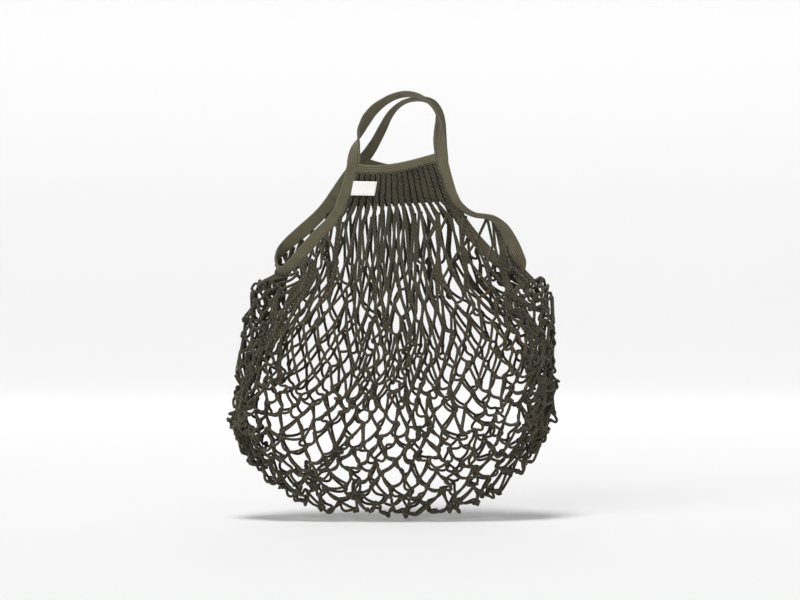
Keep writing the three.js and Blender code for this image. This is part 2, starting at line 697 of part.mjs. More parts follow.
const BAND_LOW = 1 - RIM_BAND_HEIGHT / 2 / POST_HEIGHT;
const BAND_HIGH = 1 + RIM_BAND_HEIGHT / 2 / POST_HEIGHT;
const GATHER_LOW = (STRAND_WIDTH / 2 + SEAM_GAP) / POST_HEIGHT;

function rimBand(panel) {
  const band = gridSheet(BAND_STEPS, 1, RIM_BAND_THICKNESS, panel,
    (across, up) => rimPoint(panel, across, mix(BAND_LOW, BAND_HIGH, up), SEAM_GAP));
  return toGeometry(clearOfTape(band));
}

function gather(panel) {
  const top = BAND_LOW - SEAM_GAP / POST_HEIGHT;
  const wall = gridSheet(RIB_COUNT * POINTS_PER_RIB, 2, GATHER_THICKNESS, panel, (across, up) => {
    const point = rimPoint(panel, across, mix(GATHER_LOW, top, up), SEAM_GAP);
    point.y += panel * RIB_DEPTH * Math.cos(2 * Math.PI * RIB_COUNT * across);
    return point;
  });
  return toGeometry(clearOfTape(wall));
}

function label() {
  const middle = 1 - LABEL_DROP / POST_HEIGHT;
  const reach = LABEL_HEIGHT / 2 / POST_HEIGHT;
  const out = MOUTH_DEPTH / 2 + RIB_DEPTH + GATHER_THICKNESS / 2 + SEAM_GAP + LABEL_THICKNESS / 2;
  const plate = gridSheet(4, 2, LABEL_THICKNESS, FRONT, (across, up) => {
    const edge = postEdge(FRONT, "left", mix(middle - reach, middle + reach, up), SEAM_GAP);
    return vector(edge.x + across * LABEL_WIDTH, -out, edge.z);
  });
  return toGeometry(clearOfTape(plate));
}

// The bag

const TAPE_COLOR = 0x5a5240;
const YARN_COLOR = 0x3b3629;
const LABEL_COLOR = 0xf1efe9;

const bag = new THREE.Group();
for (const piece of TAPE_PIECES) {
  const span = tapeSpan(piece.name);
  bag.add(mesh(piece.name, tapeSolid(span.first, span.last, 0), TAPE_COLOR, 0.9));
}
bag.add(mesh("rim_band_front", rimBand(FRONT), TAPE_COLOR, 0.9));
bag.add(mesh("rim_band_back", rimBand(BACK), TAPE_COLOR, 0.9));
bag.add(mesh("gather_front", gather(FRONT), YARN_COLOR, 0.95));
bag.add(mesh("gather_back", gather(BACK), YARN_COLOR, 0.95));
const [netFront, netBack] = netPanels();
bag.add(mesh("net_front", netFront, YARN_COLOR, 0.95));
bag.add(mesh("net_back", netBack, YARN_COLOR, 0.95));
bag.add(mesh("sewn_label", label(), LABEL_COLOR, 0.7));

export default bag;
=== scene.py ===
# %% [markdown]
# A string shopping bag, built as a maker would build it: one ring of ribbed cotton tape that makes
# both handles and binds both side slits, two rim bands, ribs of paired yarns under them, a net of
# single yarns, and a small bare label. Every length is in metres, +Z is up, and the bag hangs from
# the origin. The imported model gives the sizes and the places, and this file gives the looks.

# %% Load the frame
import math
import bpy
import numpy as np
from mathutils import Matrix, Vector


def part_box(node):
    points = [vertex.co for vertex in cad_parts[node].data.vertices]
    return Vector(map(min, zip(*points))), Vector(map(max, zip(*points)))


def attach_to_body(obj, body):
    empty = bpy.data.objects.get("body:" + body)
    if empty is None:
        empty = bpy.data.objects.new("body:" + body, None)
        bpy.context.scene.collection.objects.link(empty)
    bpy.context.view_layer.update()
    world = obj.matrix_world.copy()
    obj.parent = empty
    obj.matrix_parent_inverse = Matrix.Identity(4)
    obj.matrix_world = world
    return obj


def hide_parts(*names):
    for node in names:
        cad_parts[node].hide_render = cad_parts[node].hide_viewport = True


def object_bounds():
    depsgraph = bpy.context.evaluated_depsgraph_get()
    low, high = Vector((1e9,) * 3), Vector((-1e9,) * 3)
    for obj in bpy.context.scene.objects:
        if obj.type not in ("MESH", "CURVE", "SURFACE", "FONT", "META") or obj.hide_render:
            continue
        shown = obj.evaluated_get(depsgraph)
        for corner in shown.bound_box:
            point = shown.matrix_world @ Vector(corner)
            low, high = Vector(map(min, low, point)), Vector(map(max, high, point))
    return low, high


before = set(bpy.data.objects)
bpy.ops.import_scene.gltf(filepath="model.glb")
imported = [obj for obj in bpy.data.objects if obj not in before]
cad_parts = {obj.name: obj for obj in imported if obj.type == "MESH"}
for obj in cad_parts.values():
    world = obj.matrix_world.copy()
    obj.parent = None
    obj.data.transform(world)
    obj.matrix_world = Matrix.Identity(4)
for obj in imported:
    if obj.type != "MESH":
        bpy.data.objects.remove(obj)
cad_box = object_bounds()
print("CAD box", [tuple(round(v, 4) for v in corner) for corner in cad_box])

# %% [markdown]
# All the pieces hang together through a few driving sizes. They are the real bag's sizes, repeated
# here in metres, because the yarns and the tape are laid along routes and not along a finished mesh.

# %% Driving sizes
MM = 0.001
BODY_WIDTH = 390 * MM
NET_DROP = 379 * MM
BODY_DEPTH = 84 * MM
BODY_OFFSET = -26 * MM
GRIP_TO_RIM = 82 * MM
GATHER_HEIGHT = 32 * MM
RIB_COUNT = 14
RIM_BAND_HEIGHT = 11.4 * MM
RIM_BAND_THICKNESS = 3.4 * MM
RIM_SAG = 5.5 * MM
GATHER_SAG = 2.5 * MM
FRONT_RIM_RISE = 12 * MM
BACK_RIM_RISE = 12 * MM
SAG_LEAN = 0.85
MOUTH_DEPTH = 32 * MM
HANDLE_SPAN = 106 * MM
HANDLE_OFFSET = -21 * MM
HANDLE_GAP = 21 * MM
TAPE_WIDTH = 15.6 * MM
TAPE_THICKNESS = 2.8 * MM
POST_HEIGHT = RIM_BAND_HEIGHT / 2 + GATHER_HEIGHT
NET_TOP = -GRIP_TO_RIM - POST_HEIGHT
BAND_LOW = 1 - RIM_BAND_HEIGHT / 2 / POST_HEIGHT
SLIT_END = 0.25
FRONT = -1
BACK = 1

# %% [markdown]
# The tape's route is a short table for each stretch. On the real bag it is one long ribbed tape,
# sewn into a ring, that turns over where a handle twists. A table with a turn angle for each row
# says that more plainly than a simulation could, and the same rows place the solids.

# %% Tables of the tape
def table(columns, rows):
    """The named columns of a short table, as arrays."""
    return dict(zip(columns.split(), np.array(rows, float).T))


FRONT_HANDLE = table("x z width turn", [
    (-0.497, -0.937, 1.0, 180),
    (-0.478, -0.746, 1.0, 220),
    (-0.455, -0.637, 0.9, 245),
    (-0.440, -0.575, 0.84, 270),
    (-0.413, -0.461, 0.84, 310),
    (-0.342, -0.282, 0.9, 330),
    (-0.257, -0.146, 0.88, 325),
    (-0.153, -0.041, 0.86, 308),
    (-0.048, 0.032, 0.84, 300),
    (0.077, 0.073, 0.84, 296),
    (0.202, 0.061, 0.84, 288),
    (0.303, 0.007, 0.84, 277),
    (0.383, -0.088, 0.84, 272),
    (0.439, -0.205, 0.84, 270),
    (0.458, -0.307, 0.84, 246),
    (0.462, -0.424, 0.86, 226),
    (0.468, -0.556, 0.94, 202),
    (0.478, -0.702, 1.0, 188),
    (0.494, -0.849, 1.0, 180),
])
BACK_HANDLE = table("x z width turn", [
    (0.513, -0.834, 0.92, 22),
    (0.507, -0.673, 0.88, 30),
    (0.506, -0.498, 0.84, 38),
    (0.500, -0.329, 0.82, 42),
    (0.470, -0.161, 0.8, 46),
    (0.400, -0.030, 0.8, 56),
    (0.315, 0.020, 0.8, 68),
    (0.224, 0.026, 0.8, 76),
    (0.134, 0.009, 0.8, 78),
    (0.054, -0.032, 0.8, 74),
    (-0.025, -0.110, 0.8, 66),
    (-0.095, -0.220, 0.8, 54),
    (-0.172, -0.407, 0.84, 42),
    (-0.251, -0.600, 0.86, 32),
    (-0.348, -0.790, 0.9, 12),
])
RIGHT_SLIT = table("x z out width turn row", [
    (0.148, -1.200, -1.0, 0.96, 180, -0.1),
    (0.162, -0.704, -1.0, 0.88, 180, -0.06),
    (0.171, -0.395, -1.0, 0.86, 178, -0.03),
    (0.182, -0.088, -1.0, 0.86, 160, -0.005),
    (0.197, 0.015, -1.0, 0.84, 138, 0.015),
    (0.222, 0.036, -1.0, 0.84, 116, 0.045),
    (0.251, 0.050, -1.0, 0.84, 108, 0.075),
    (0.285, 0.055, -1.0, 0.84, 110, 0.105),
    (0.311, 0.065, -1.0, 0.86, 120, 0.13),
    (0.337, 0.090, -1.0, 0.94, 140, 0.16),
    (0.357, 0.125, -0.95, 1.0, 165, 0.19),
    (0.376, 0.166, -0.8, 1.0, 180, 0.215),
    (0.391, 0.199, -0.5, 0.84, 165, 0.235),
    (0.389, 0.225, 0.0, 0.76, 110, 0.25),
    (0.362, 0.223, 0.45, 0.8, 45, 0.235),
    (0.322, 0.193, 0.8, 0.88, 12, 0.205),
    (0.278, 0.150, 0.95, 0.9, 0, 0.16),
    (0.235, 0.098, 1.0, 0.9, 0, 0.105),
    (0.197, 0.041, 1.0, 0.9, 0, 0.05),
    (0.174, -0.095, 1.0, 0.9, 0, -0.01),
    (0.162, -0.600, 1.0, 0.9, 0, -0.05),
    (0.154, -1.105, 1.0, 0.9, 0, -0.1),
])
LEFT_SLIT = table("x z out width turn row", [
    (-0.122, -1.042, 1.0, 0.86, 0, -0.1),
    (-0.146, -0.695, 1.0, 0.9, 0, -0.06),
    (-0.183, -0.142, 1.0, 0.9, 0, -0.01),
    (-0.218, 0.035, 1.0, 0.92, 0, 0.06),
    (-0.273, 0.091, 0.9, 1.0, 0, 0.13),
    (-0.322, 0.135, 0.75, 0.94, 8, 0.18),
    (-0.349, 0.165, 0.6, 0.84, 35, 0.21),
    (-0.361, 0.195, 0.3, 0.76, 80, 0.235),
    (-0.352, 0.220, -0.1, 0.76, 118, 0.25),
    (-0.332, 0.223, -0.5, 0.8, 150, 0.235),
    (-0.311, 0.204, -0.7, 0.84, 172, 0.215),
    (-0.281, 0.170, -0.8, 0.88, 180, 0.18),
    (-0.230, 0.112, -0.9, 0.88, 180, 0.12),
    (-0.177, 0.054, -0.95, 0.88, 180, 0.06),
    (-0.151, -0.063, -1.0, 0.88, 180, -0.01),
    (-0.134, -0.600, -1.0, 0.9, 180, -0.05),
    (-0.125, -1.011, -1.0, 0.9, 180, -0.1),
])
MIDDLE_LINE = table("row x z mouth belly curve bunch", [
    (0.0, 0.023, 0.0, 1.0, 0.0, 2.0, 0.0),
    (0.125, 0.023, 0.156, 0.5, 0.38, 2.0, 0.0),
    (0.25, 0.022, 0.305, 0.1, 0.72, 2.0, 0.0),
    (0.375, 0.020, 0.445, 0.0, 0.9, 2.2, 0.1),
    (0.5, 0.017, 0.575, 0.0, 1.0, 2.4, 0.1),
    (0.625, 0.012, 0.694, 0.0, 1.0, 2.6, 0.1),
    (0.75, 0.007, 0.803, 0.0, 0.88, 2.9, 0.1),
    (0.875, 0.002, 0.904, 0.0, 0.6, 3.2, 0.05),
    (1.0, -0.004, 0.988, 0.0, 0.0, 3.5, 0.0),
])
SIDE_FOLDS = table("row left_x left_z right_x right_z", [
    (0.25, -0.352, 0.262, 0.402, 0.256),
    (0.375, -0.437, 0.372, 0.472, 0.338),
    (0.5, -0.472, 0.484, 0.491, 0.436),
    (0.625, -0.485, 0.573, 0.490, 0.516),
    (0.75, -0.490, 0.650, 0.484, 0.592),
    (0.875, -0.485, 0.712, 0.476, 0.659),
    (1.0, -0.462, 0.772, 0.462, 0.732),
])

SHOULDERS = table("row left right lift", [
    (0.25, 6 * MM, 6 * MM, 4 * MM),
    (0.262, 17 * MM, 15 * MM, 8 * MM),
    (0.29, 20 * MM, 17 * MM, 10 * MM),
    (0.33, 13 * MM, 14 * MM, 6 * MM),
    (0.4, 4 * MM, 7 * MM, 2 * MM),
    (0.48, 0 * MM, 0 * MM, 0 * MM),
])

# %% [markdown]
# The route goes up the front handle, down the right slit, round the back handle and round the left
# slit, on one closed centripetal Catmull-Rom curve. That curve never makes loops where the rows lie
# close together, as they do at the end of a slit.

# %% The tape's route
def unit(vectors):
    return vectors / np.maximum(np.linalg.norm(vectors, axis=-1, keepdims=True), 1e-12)


def height_at(share):
    """The height of a share of the net's drop, or of the post above it where it is negative."""
    return np.where(share < 0, NET_TOP - share * POST_HEIGHT, NET_TOP - share * NET_DROP)


def handle_points(rows, panel):
    rise = np.clip(rows["z"] + 1, 0, 1)
    out = MOUTH_DEPTH / 2 + (HANDLE_GAP / 2 - MOUTH_DEPTH / 2) * rise
    x = HANDLE_OFFSET + rows["x"] * HANDLE_SPAN
    return np.stack([x, panel * out, rows["z"] * GRIP_TO_RIM], axis=1)


def slit_points(rows):
    x = BODY_OFFSET + rows["x"] * BODY_WIDTH
    return np.stack([x, rows["out"] * MOUTH_DEPTH / 2, height_at(rows["z"])], axis=1)


TAPE_STRETCHES = [FRONT_HANDLE, RIGHT_SLIT, BACK_HANDLE, LEFT_SLIT]
TAPE_STARTS = np.cumsum([0] + [len(rows["x"]) for rows in TAPE_STRETCHES])
TAPE_COUNT = int(TAPE_STARTS[-1])
TAPE_POINTS = np.concatenate([
    handle_points(FRONT_HANDLE, FRONT), slit_points(RIGHT_SLIT),
    handle_points(BACK_HANDLE, BACK), slit_points(LEFT_SLIT),
])
TAPE_TURN = np.concatenate([rows["turn"] for rows in TAPE_STRETCHES])
TAPE_SHARE = np.concatenate([rows["width"] for rows in TAPE_STRETCHES])


def route_point(place):
    """Points of the closed centripetal curve, at places counted in rows."""
    low = np.floor(place).astype(int)
    share = (place - low)[:, None]
    p0, p1, p2, p3 = (TAPE_POINTS[(low + step) % TAPE_COUNT] for step in (-1, 0, 1, 2))
    d0, d1, d2 = (np.linalg.norm(b - a, axis=1)[:, None] ** 0.5
                  for a, b in ((p0, p1), (p1, p2), (p2, p3)))
    start = ((p1 - p0) / d0 - (p2 - p0) / (d0 + d1) + (p2 - p1) / d1) * d1
    end = ((p2 - p1) / d1 - (p3 - p1) / (d1 + d2) + (p3 - p2) / d2) * d1
    square = -3 * p1 + 3 * p2 - 2 * start - end
    cube = 2 * p1 - 2 * p2 + start + end
    return p1 + start * share + square * share ** 2 + cube * share ** 3


def tape_at(place):
    """The tape's middle, its directions along, across and out of its face, and half its width."""
    place = np.atleast_1d(np.asarray(place, float)) % TAPE_COUNT
    low = np.floor(place).astype(int)
    share = place - low
    point = route_point(place)
    reach = 0.02
    along = unit(route_point((place + reach) % TAPE_COUNT) - route_point((place - reach) % TAPE_COUNT))
    flat = unit(np.cross(along, (0, 1, 0)))
    deep = unit(np.cross(flat, along))
    turn = TAPE_TURN[low] + (TAPE_TURN[(low + 1) % TAPE_COUNT] - TAPE_TURN[low]) * share
    cosine = np.cos(np.radians(turn))[:, None]
    sine = np.sin(np.radians(turn))[:, None]
    width = TAPE_SHARE[low] + (TAPE_SHARE[(low + 1) % TAPE_COUNT] - TAPE_SHARE[low]) * share
    return {"point": point, "along": along, "across": flat * cosine + deep * sine,
            "face": deep * cosine - flat * sine, "half": width * TAPE_WIDTH / 2}


ring_length = np.linalg.norm(np.diff(route_point(np.linspace(0, TAPE_COUNT, 2000) % TAPE_COUNT),
                                     axis=0), axis=1).sum()
print(f"the ring of tape is {ring_length:.3f} m long")

# %% [markdown]
# The two panels of the net hang from the posts, the slits' edges and the rim, and fold at the sides
# and at the bottom. One function gives a point of a panel from its place across and down, and the
# yarns, the ribs and the bands all ask it where they go.

# %% The panels
def tape_edge(place, clearance):
    tape = tape_at(place)
    return tape["point"] + tape["across"] * (tape["half"] + clearance)[:, None]


def starts_here(panel, side):
    """True where this side's stretch of tape begins beside this panel."""
    return (side == "left") == (panel == BACK)


def post_edge(panel, side, above, clearance):
    """The tape's edge beside the ribs, at heights in shares of the post."""
    stretch = 3 if side == "left" else 1
    first, last = TAPE_STARTS[stretch], TAPE_STARTS[stretch + 1] - 1
    if starts_here(panel, side):
        places = np.linspace(first - 2, first + 6, 400)
    else:
        places = np.linspace(last + 2, last - 6, 400)
    heights = route_point(places % TAPE_COUNT)[:, 2]
    wanted = NET_TOP + np.atleast_1d(above) * POST_HEIGHT
    return tape_edge(np.interp(-wanted, -heights, places), np.full(len(wanted), clearance))


def slit_edge(panel, side, row, clearance):
    """The edge of the slit's tape beside a row of the net."""
    first = TAPE_STARTS[3] if side == "left" else TAPE_STARTS[1]
    rows = LEFT_SLIT["row"] if side == "left" else RIGHT_SLIT["row"]
    end = int(np.argmax(rows))
    index = np.arange(0, end + 1) if starts_here(panel, side) else np.arange(len(rows) - 1, end - 1, -1)
    places = np.interp(row, rows[index], first + index)
    return tape_edge(places, np.full(len(places), clearance))


def side_fold(side, row):
    x = BODY_OFFSET + np.interp(row, SIDE_FOLDS["row"], SIDE_FOLDS[side + "_x"]) * BODY_WIDTH
    # The slack yarns stand out beside the end of the slit, as a shoulder under the tape.
    out = np.interp(row, SHOULDERS["row"], SHOULDERS[side])
    x = x + (out if side == "right" else -out)
    lift = np.interp(row, SHOULDERS["row"], SHOULDERS["lift"])
    z = height_at(np.interp(row, SIDE_FOLDS["row"], SIDE_FOLDS[side + "_z"])) + lift
    return np.stack([x, np.zeros_like(x), z], axis=-1)


def panel_side(panel, side, row, clearance):
    row = np.asarray(row, float)
    slit = slit_edge(panel, side, np.clip(row, 0, SLIT_END), clearance)
    post = post_edge(panel, side, np.zeros(len(row)), clearance)
    fold = side_fold(side, row)
    above = np.where((row > 0)[:, None], slit, post)
    return np.where((row >= SLIT_END)[:, None], fold, above)


def rise_at(panel, side, above):
    """How far a handle pulls one end of its rim up, in shares of the post."""
    if (side == "right") != (panel == FRONT):
        return 0.0
    rise = FRONT_RIM_RISE if panel == FRONT else BACK_RIM_RISE
    return rise / POST_HEIGHT * np.minimum(1, above / BAND_LOW)


def rim_point(panel, across, above, clearance):
    """A point of the ribs or the rim band: across from 0 to 1, above in shares of the post."""
    across, above = np.broadcast_arrays(np.asarray(across, float), np.asarray(above, float))
    shape = across.shape
    across, above = across.ravel(), above.ravel()
    left = post_edge(panel, "left", above + rise_at(panel, "left", above), clearance)
    right = post_edge(panel, "right", above + rise_at(panel, "right", above), clearance)
    point = left + (right - left) * across[:, None]
    sag = GATHER_SAG + (RIM_SAG - GATHER_SAG) * above
    point[:, 1] = panel * MOUTH_DEPTH / 2
    point[:, 2] -= sag * np.sin(np.pi * across ** SAG_LEAN)
    return point.reshape(shape + (3,))


def panel_point(panel, across, row, clearance):
    """A point of the net: across from 0 at the left to 1 at the right, row from 0 down to 1."""
    across, row = np.broadcast_arrays(np.asarray(across, float), np.asarray(row, float))
    shape = across.shape
    across, row = across.ravel(), row.ravel()
    line = {name: np.interp(row, MIDDLE_LINE["row"], values) for name, values in MIDDLE_LINE.items()}
    sides = np.where((across < 0.5)[:, None], panel_side(panel, "left", row, clearance),
                     panel_side(panel, "right", row, clearance))
    outward = np.abs(2 * across - 1)
    spread = outward * (1 + line["bunch"]) - line["bunch"] * outward ** 3
    bulge = np.sqrt(np.clip(1 - outward ** 2, 0, 1))
    depth = line["mouth"] * MOUTH_DEPTH / 2 + line["belly"] * BODY_DEPTH / 2
    centre_x = BODY_OFFSET + line["x"] * BODY_WIDTH
    centre_z = height_at(line["z"])
    x = centre_x + (sides[:, 0] - centre_x) * spread
    y = sides[:, 1] + (panel * depth - sides[:, 1]) * bulge
    z = centre_z + (sides[:, 2] - centre_z) * outward ** line["curve"]
    point = np.stack([x, y, z], axis=1)
    first = MIDDLE_LINE["row"][1]
    share = np.clip(row / first, 0, 1)[:, None]
    rim = rim_point(panel, across, np.zeros(len(across)), clearance)
    return (rim + (point - rim) * share).reshape(shape + (3,))


middle = panel_point(FRONT, [0.5, 0.5], [0, 1], 0)
print(f"the front panel hangs from {middle[0, 2]:.3f} to {middle[1, 2]:.3f} m")

# %% [markdown]
# Meshes are made straight from arrays of points and faces. A grid of points, closed round one way,
# is all that a tape, a band and a yarn need, so one function makes the grid's faces and its UV map,
# which counts real metres along and round the piece. The materials use it for ribs and stitches.

# %% Mesh helpers
def make_piece(name, points, faces, uvs, finish):
    """A smooth mesh object from arrays. uvs has one pair for each corner of each face."""
    mesh = bpy.data.meshes.new(name)
    mesh.from_pydata(points.tolist(), [], faces.tolist() if hasattr(faces, "tolist") else faces)
    layer = mesh.uv_layers.new(name="lengths")
    layer.data.foreach_set("uv", np.asarray(uvs, np.float32).ravel())
    mesh.polygons.foreach_set("use_smooth", np.ones(len(mesh.polygons), bool))
    mesh.materials.append(finish)
    mesh.update()
    piece = bpy.data.objects.new(name, mesh)
    bpy.context.scene.collection.objects.link(piece)
    return piece


def grid_faces(rings, sides, closed_rings=False):
    """Quads between rings of points that close round, and for each corner its ring and its side."""
    spans = rings if closed_rings else rings - 1
    ring, side = np.meshgrid(np.arange(spans), np.arange(sides), indexing="ij")
    ring, side = ring.ravel(), side.ravel()
    corner_rings = np.stack([ring, ring, ring + 1, ring + 1], axis=1)
    corner_sides = np.stack([side, side + 1, side + 1, side], axis=1)
    faces = (corner_rings % rings) * sides + corner_sides % sides
    return faces, corner_rings, corner_sides


def distances(points):
    """The length along a row of points, from 0 at the first."""
    return np.concatenate([[0], np.cumsum(np.linalg.norm(np.diff(points, axis=0), axis=1))])


def swept_piece(name, rings, marks, around, finish, closed_rings=False):
    """One closed piece from rings of points, with a cap at each end unless the rings close too."""
    count, sides = rings.shape[:2]
    faces, corner_rings, corner_sides = grid_faces(count, sides, closed_rings)
    uvs = np.stack([marks[corner_rings], around[corner_sides]], axis=-1).reshape(-1, 2)
    faces = faces.tolist()
    if not closed_rings:
        faces.append(list(range(sides))[::-1])
        faces.append([(count - 1) * sides + side for side in range(sides)])
        uvs = np.concatenate([uvs, np.zeros((2 * sides, 2))])
    return make_piece(name, rings.reshape(-1, 3), faces, uvs, finish)


def attach(piece, slot, *nodes):
    """Hides the solids that a piece stands for and puts the piece on the root body that it rides on. The
    slot is not used.
    """
    if nodes:
        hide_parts(*nodes)
    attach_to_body(piece, "root")
    return piece


# %% [markdown]
# Shader maths reads best as plain Python, so one small class wraps a socket. A sum or product of
# wrapped sockets adds the Math node for it, and every other node comes from one method.

# %% Shader helper
class Wire:
    """A socket of a material's nodes that can stand in a Python expression."""

    def __init__(self, tree, socket=None):
        self.tree = tree
        self.socket = socket

    def node(self, kind, settings, inputs, output=0):
        """Adds a node: its settings first, then its inputs, and gives one of its outputs."""
        made = self.tree.nodes.new(kind)
        for name, value in settings.items():
            if name == "stops":
                for stop, (position, colour) in zip(made.color_ramp.elements, value):
                    stop.position = position
                    stop.color = colour
            else:
                setattr(made, name, value)
        for name, value in inputs.items():
            if isinstance(value, Wire):
                self.tree.links.new(value.socket, made.inputs[name])
            else:
                made.inputs[name].default_value = value
        return Wire(self.tree, made.outputs[output])

    def maths(self, operation, first, second=0.0):
        return self.node("ShaderNodeMath", {"operation": operation}, {0: first, 1: second})

    def __add__(self, other):
        return self.maths("ADD", self, other)

    def __sub__(self, other):
        return self.maths("SUBTRACT", self, other)

    def __rsub__(self, other):
        return self.maths("SUBTRACT", other, self)

    def __mul__(self, other):
        return self.maths("MULTIPLY", self, other)

    def __truediv__(self, other):
        return self.maths("DIVIDE", self, other)

    def __rtruediv__(self, other):
        return self.maths("DIVIDE", other, self)

    def __pow__(self, other):
        return self.maths("POWER", self, other)

    def __abs__(self):
        return self.maths("ABSOLUTE", self)

    __radd__ = __add__
    __rmul__ = __mul__

    def wave(self, pitch, phase=0.0):
        """A smooth wave from 0 to 1 that repeats every pitch."""
        return self.maths("SINE", self * (2 * math.pi / pitch) + phase) * 0.5 + 0.5

    def tint(self, dark, light):
        """A colour between two colours or wires, by this socket."""
        ends = [end if isinstance(end, Wire) else (*end, 1) for end in (dark, light)]
        return self.node("ShaderNodeMix", {"data_type": "RGBA", "clamp_factor": True},
                         {"Factor": self, 6: ends[0], 7: ends[1]}, 2)


def linear(red, green, blue):
    """A colour given as the eye reads it on a screen, from 0 to 255, in linear light."""
    return tuple(((c / 255 + 0.055) / 1.055) ** 2.4 if c > 10 else c / 255 / 12.92
                 for c in (red, green, blue))


def new_finish(name, roughness, sheen):
    """A material, a wire to build its nodes with, and its shader."""
    material = bpy.data.materials.new(name)
    material.use_nodes = True
    shader = material.node_tree.nodes["Principled BSDF"]
    shader.inputs["Roughness"].default_value = roughness
    shader.inputs["Sheen Weight"].default_value = sheen
    shader.inputs["Sheen Roughness"].default_value = 0.5
    shader.inputs["Specular IOR Level"].default_value = 0.25
    return material, Wire(material.node_tree), shader


def speckle(wire, size, detail=2.0):
    """Noise from 0 to 1 with spots of a real size."""
    place = wire.node("ShaderNodeTexCoord", {}, {}, "Object")
    return wire.node("ShaderNodeTexNoise", {}, {"Vector": place, "Scale": 1 / size, "Detail": detail}, "Fac")


def lengths(wire):
    """The two directions of a piece's UV map, in metres along and round it."""
    place = wire.node("ShaderNodeTexCoord", {}, {}, "UV")
    split = wire.node("ShaderNodeSeparateXYZ", {}, {"Vector": place})
    across = Wire(wire.tree, split.socket.node.outputs["Y"])
    return split, across


def set_surface(wire, shader, colour, relief, depth, roughness=None):
    """Joins a finish's colour and relief to its shader."""
    wire.tree.links.new(colour.socket, shader.inputs["Base Color"])
    bump = wire.node("ShaderNodeBump", {}, {"Strength": 1.0, "Distance": depth, "Height": relief})
    wire.tree.links.new(bump.socket, shader.inputs["Normal"])
    if roughness is not None:
        wire.tree.links.new(roughness.socket, shader.inputs["Roughness"])


# %% [markdown]
# The tape is rib-knitted cotton: columns of small V stitches that run along it, with a soft furrow
# between two columns. The furrows are real relief in the mesh, and the V stitches are bump, because
# one is less than a millimetre tall. Its colour is an uneven olive brown, with painted shade in the
# furrows and between the V stitches.

# %% Tape finish
# TAPE_DARK is the dark end of the tape's tone and also its painted shade in the furrows.
TAPE_DARK = linear(42, 39, 27)
TAPE_LIGHT = linear(124, 117, 92)
RIB_PITCH = 2.1 * MM
STITCH_PITCH = 1.25 * MM


def tape_finish():
    material, wire, shader = new_finish("rib_knit_tape", 0.85, 0.25)
    along, across = lengths(wire)
    rib = across.wave(RIB_PITCH)
    slant = abs(across.wave(RIB_PITCH, math.pi / 2) - 0.5) * STITCH_PITCH
    stitch = (along + slant).wave(STITCH_PITCH)
    fibre = speckle(wire, 0.7 * MM, 3.0)
    patch = speckle(wire, 14 * MM)
    # rib and stitch raise the bump and also darken the colour, as painted shade in the furrows and between
    # the stitches; fibre and patch are the tape's own uneven tone.
    shade = rib * 0.6 + stitch * 0.2 + fibre * 0.3 + patch * 0.4 - 0.25
    relief = rib * 0.4 + stitch * 0.35 + fibre * 0.25
    set_surface(wire, shader, shade.tint(TAPE_DARK, TAPE_LIGHT), relief, 0.35 * MM, 0.95 - stitch * 0.15)
    return material


TAPE_FINISH = tape_finish()
print("finish", TAPE_FINISH.name)

# %% [markdown]
# A yarn is three plies twisted together. At this size the twist shows as slanting furrows, which
# follow the yarn however it turns, because the UV map counts along and round each yarn. The colour
# has painted shade in the furrows. Here and there the dye is browner.

# %% Yarn finish
YARN_RADIUS = 1.72 * MM
# YARN_DARK is the dark end of the yarn's tone and also its painted shade in the twist's furrows.
YARN_DARK = linear(14, 12, 6)
YARN_LIGHT = linear(86, 79, 54)
YARN_BROWN = linear(84, 62, 46)
PLY_COUNT = 3
PLY_PITCH = 5.5 * MM


def yarn_finish():
    material, wire, shader = new_finish("twisted_cotton_yarn", 0.9, 0.3)
    along, round_it = lengths(wire)
    ply_relief_and_shade = (along * (2 * math.pi / PLY_PITCH) + round_it * (2 * math.pi * PLY_COUNT)).wave(2 * math.pi)
    fibre = speckle(wire, 0.6 * MM, 3.0)
    patch = speckle(wire, 24 * MM)
    # The ply wave raises the bump and darkens the colour in the twist's furrows, as painted shade; fibre,
    # patch and the browner dye are the yarn's own uneven tone.
    shade = ply_relief_and_shade * 0.35 + fibre * 0.35 + patch * 0.6 - 0.25
    relief = ply_relief_and_shade * 0.8 + fibre * 0.2
    dye = (speckle(wire, 11 * MM) - 0.55) * 1.4
    colour = dye.tint(shade.tint(YARN_DARK, YARN_LIGHT), YARN_BROWN)
    set_surface(wire, shader, colour, relief, 0.5 * MM, 0.95 - ply_relief_and_shade * 0.12)
    return material


YARN_FINISH = yarn_finish()
print("finish", YARN_FINISH.name)

# %% [markdown]
# The label is a scrap of white woven ribbon. It is bare here, with only the fine cross threads of
# the weave, and painted shade between the threads.

# %% Label finish
def label_finish():
    material, wire, shader = new_finish("white_woven_label", 0.6, 0.2)
    along, across = lengths(wire)
    warp_relief_and_shade = along.wave(0.35 * MM)
    weft_relief_and_shade = across.wave(0.3 * MM)
    fibre = speckle(wire, 1.5 * MM)
    # The warp and weft waves raise the bump and darken the colour between the threads, as painted shade;
    # fibre is the ribbon's own uneven tone.
    shade = warp_relief_and_shade * 0.2 + weft_relief_and_shade * 0.3 + fibre * 0.5
    colour = shade.tint(linear(226, 224, 220), linear(250, 249, 247))
    set_surface(wire, shader, colour, warp_relief_and_shade * 0.5 + weft_relief_and_shade * 0.5, 0.06 * MM)
    return material


LABEL_FINISH = label_finish()
print("finish", LABEL_FINISH.name)

# %% [markdown]
# The tape itself: a flattened tube, because the real tape is folded double, with rounded edges and
# a furrow between each two columns of stitches. It is one closed ring. Where its two ends are sewn,
# on the back of the left slit, the upper end lies over the lower one and makes a small step.

# %% The ring of tape
RINGS_PER_ROW = 6
RIB_RELIEF = 0.16 * MM
EDGE_POINTS = 7
FACE_POINTS = 36
JOIN_PLACE = TAPE_STARTS[3] + 2.15
JOIN_ROWS = 1.5
JOIN_STEP = 0.55 * MM


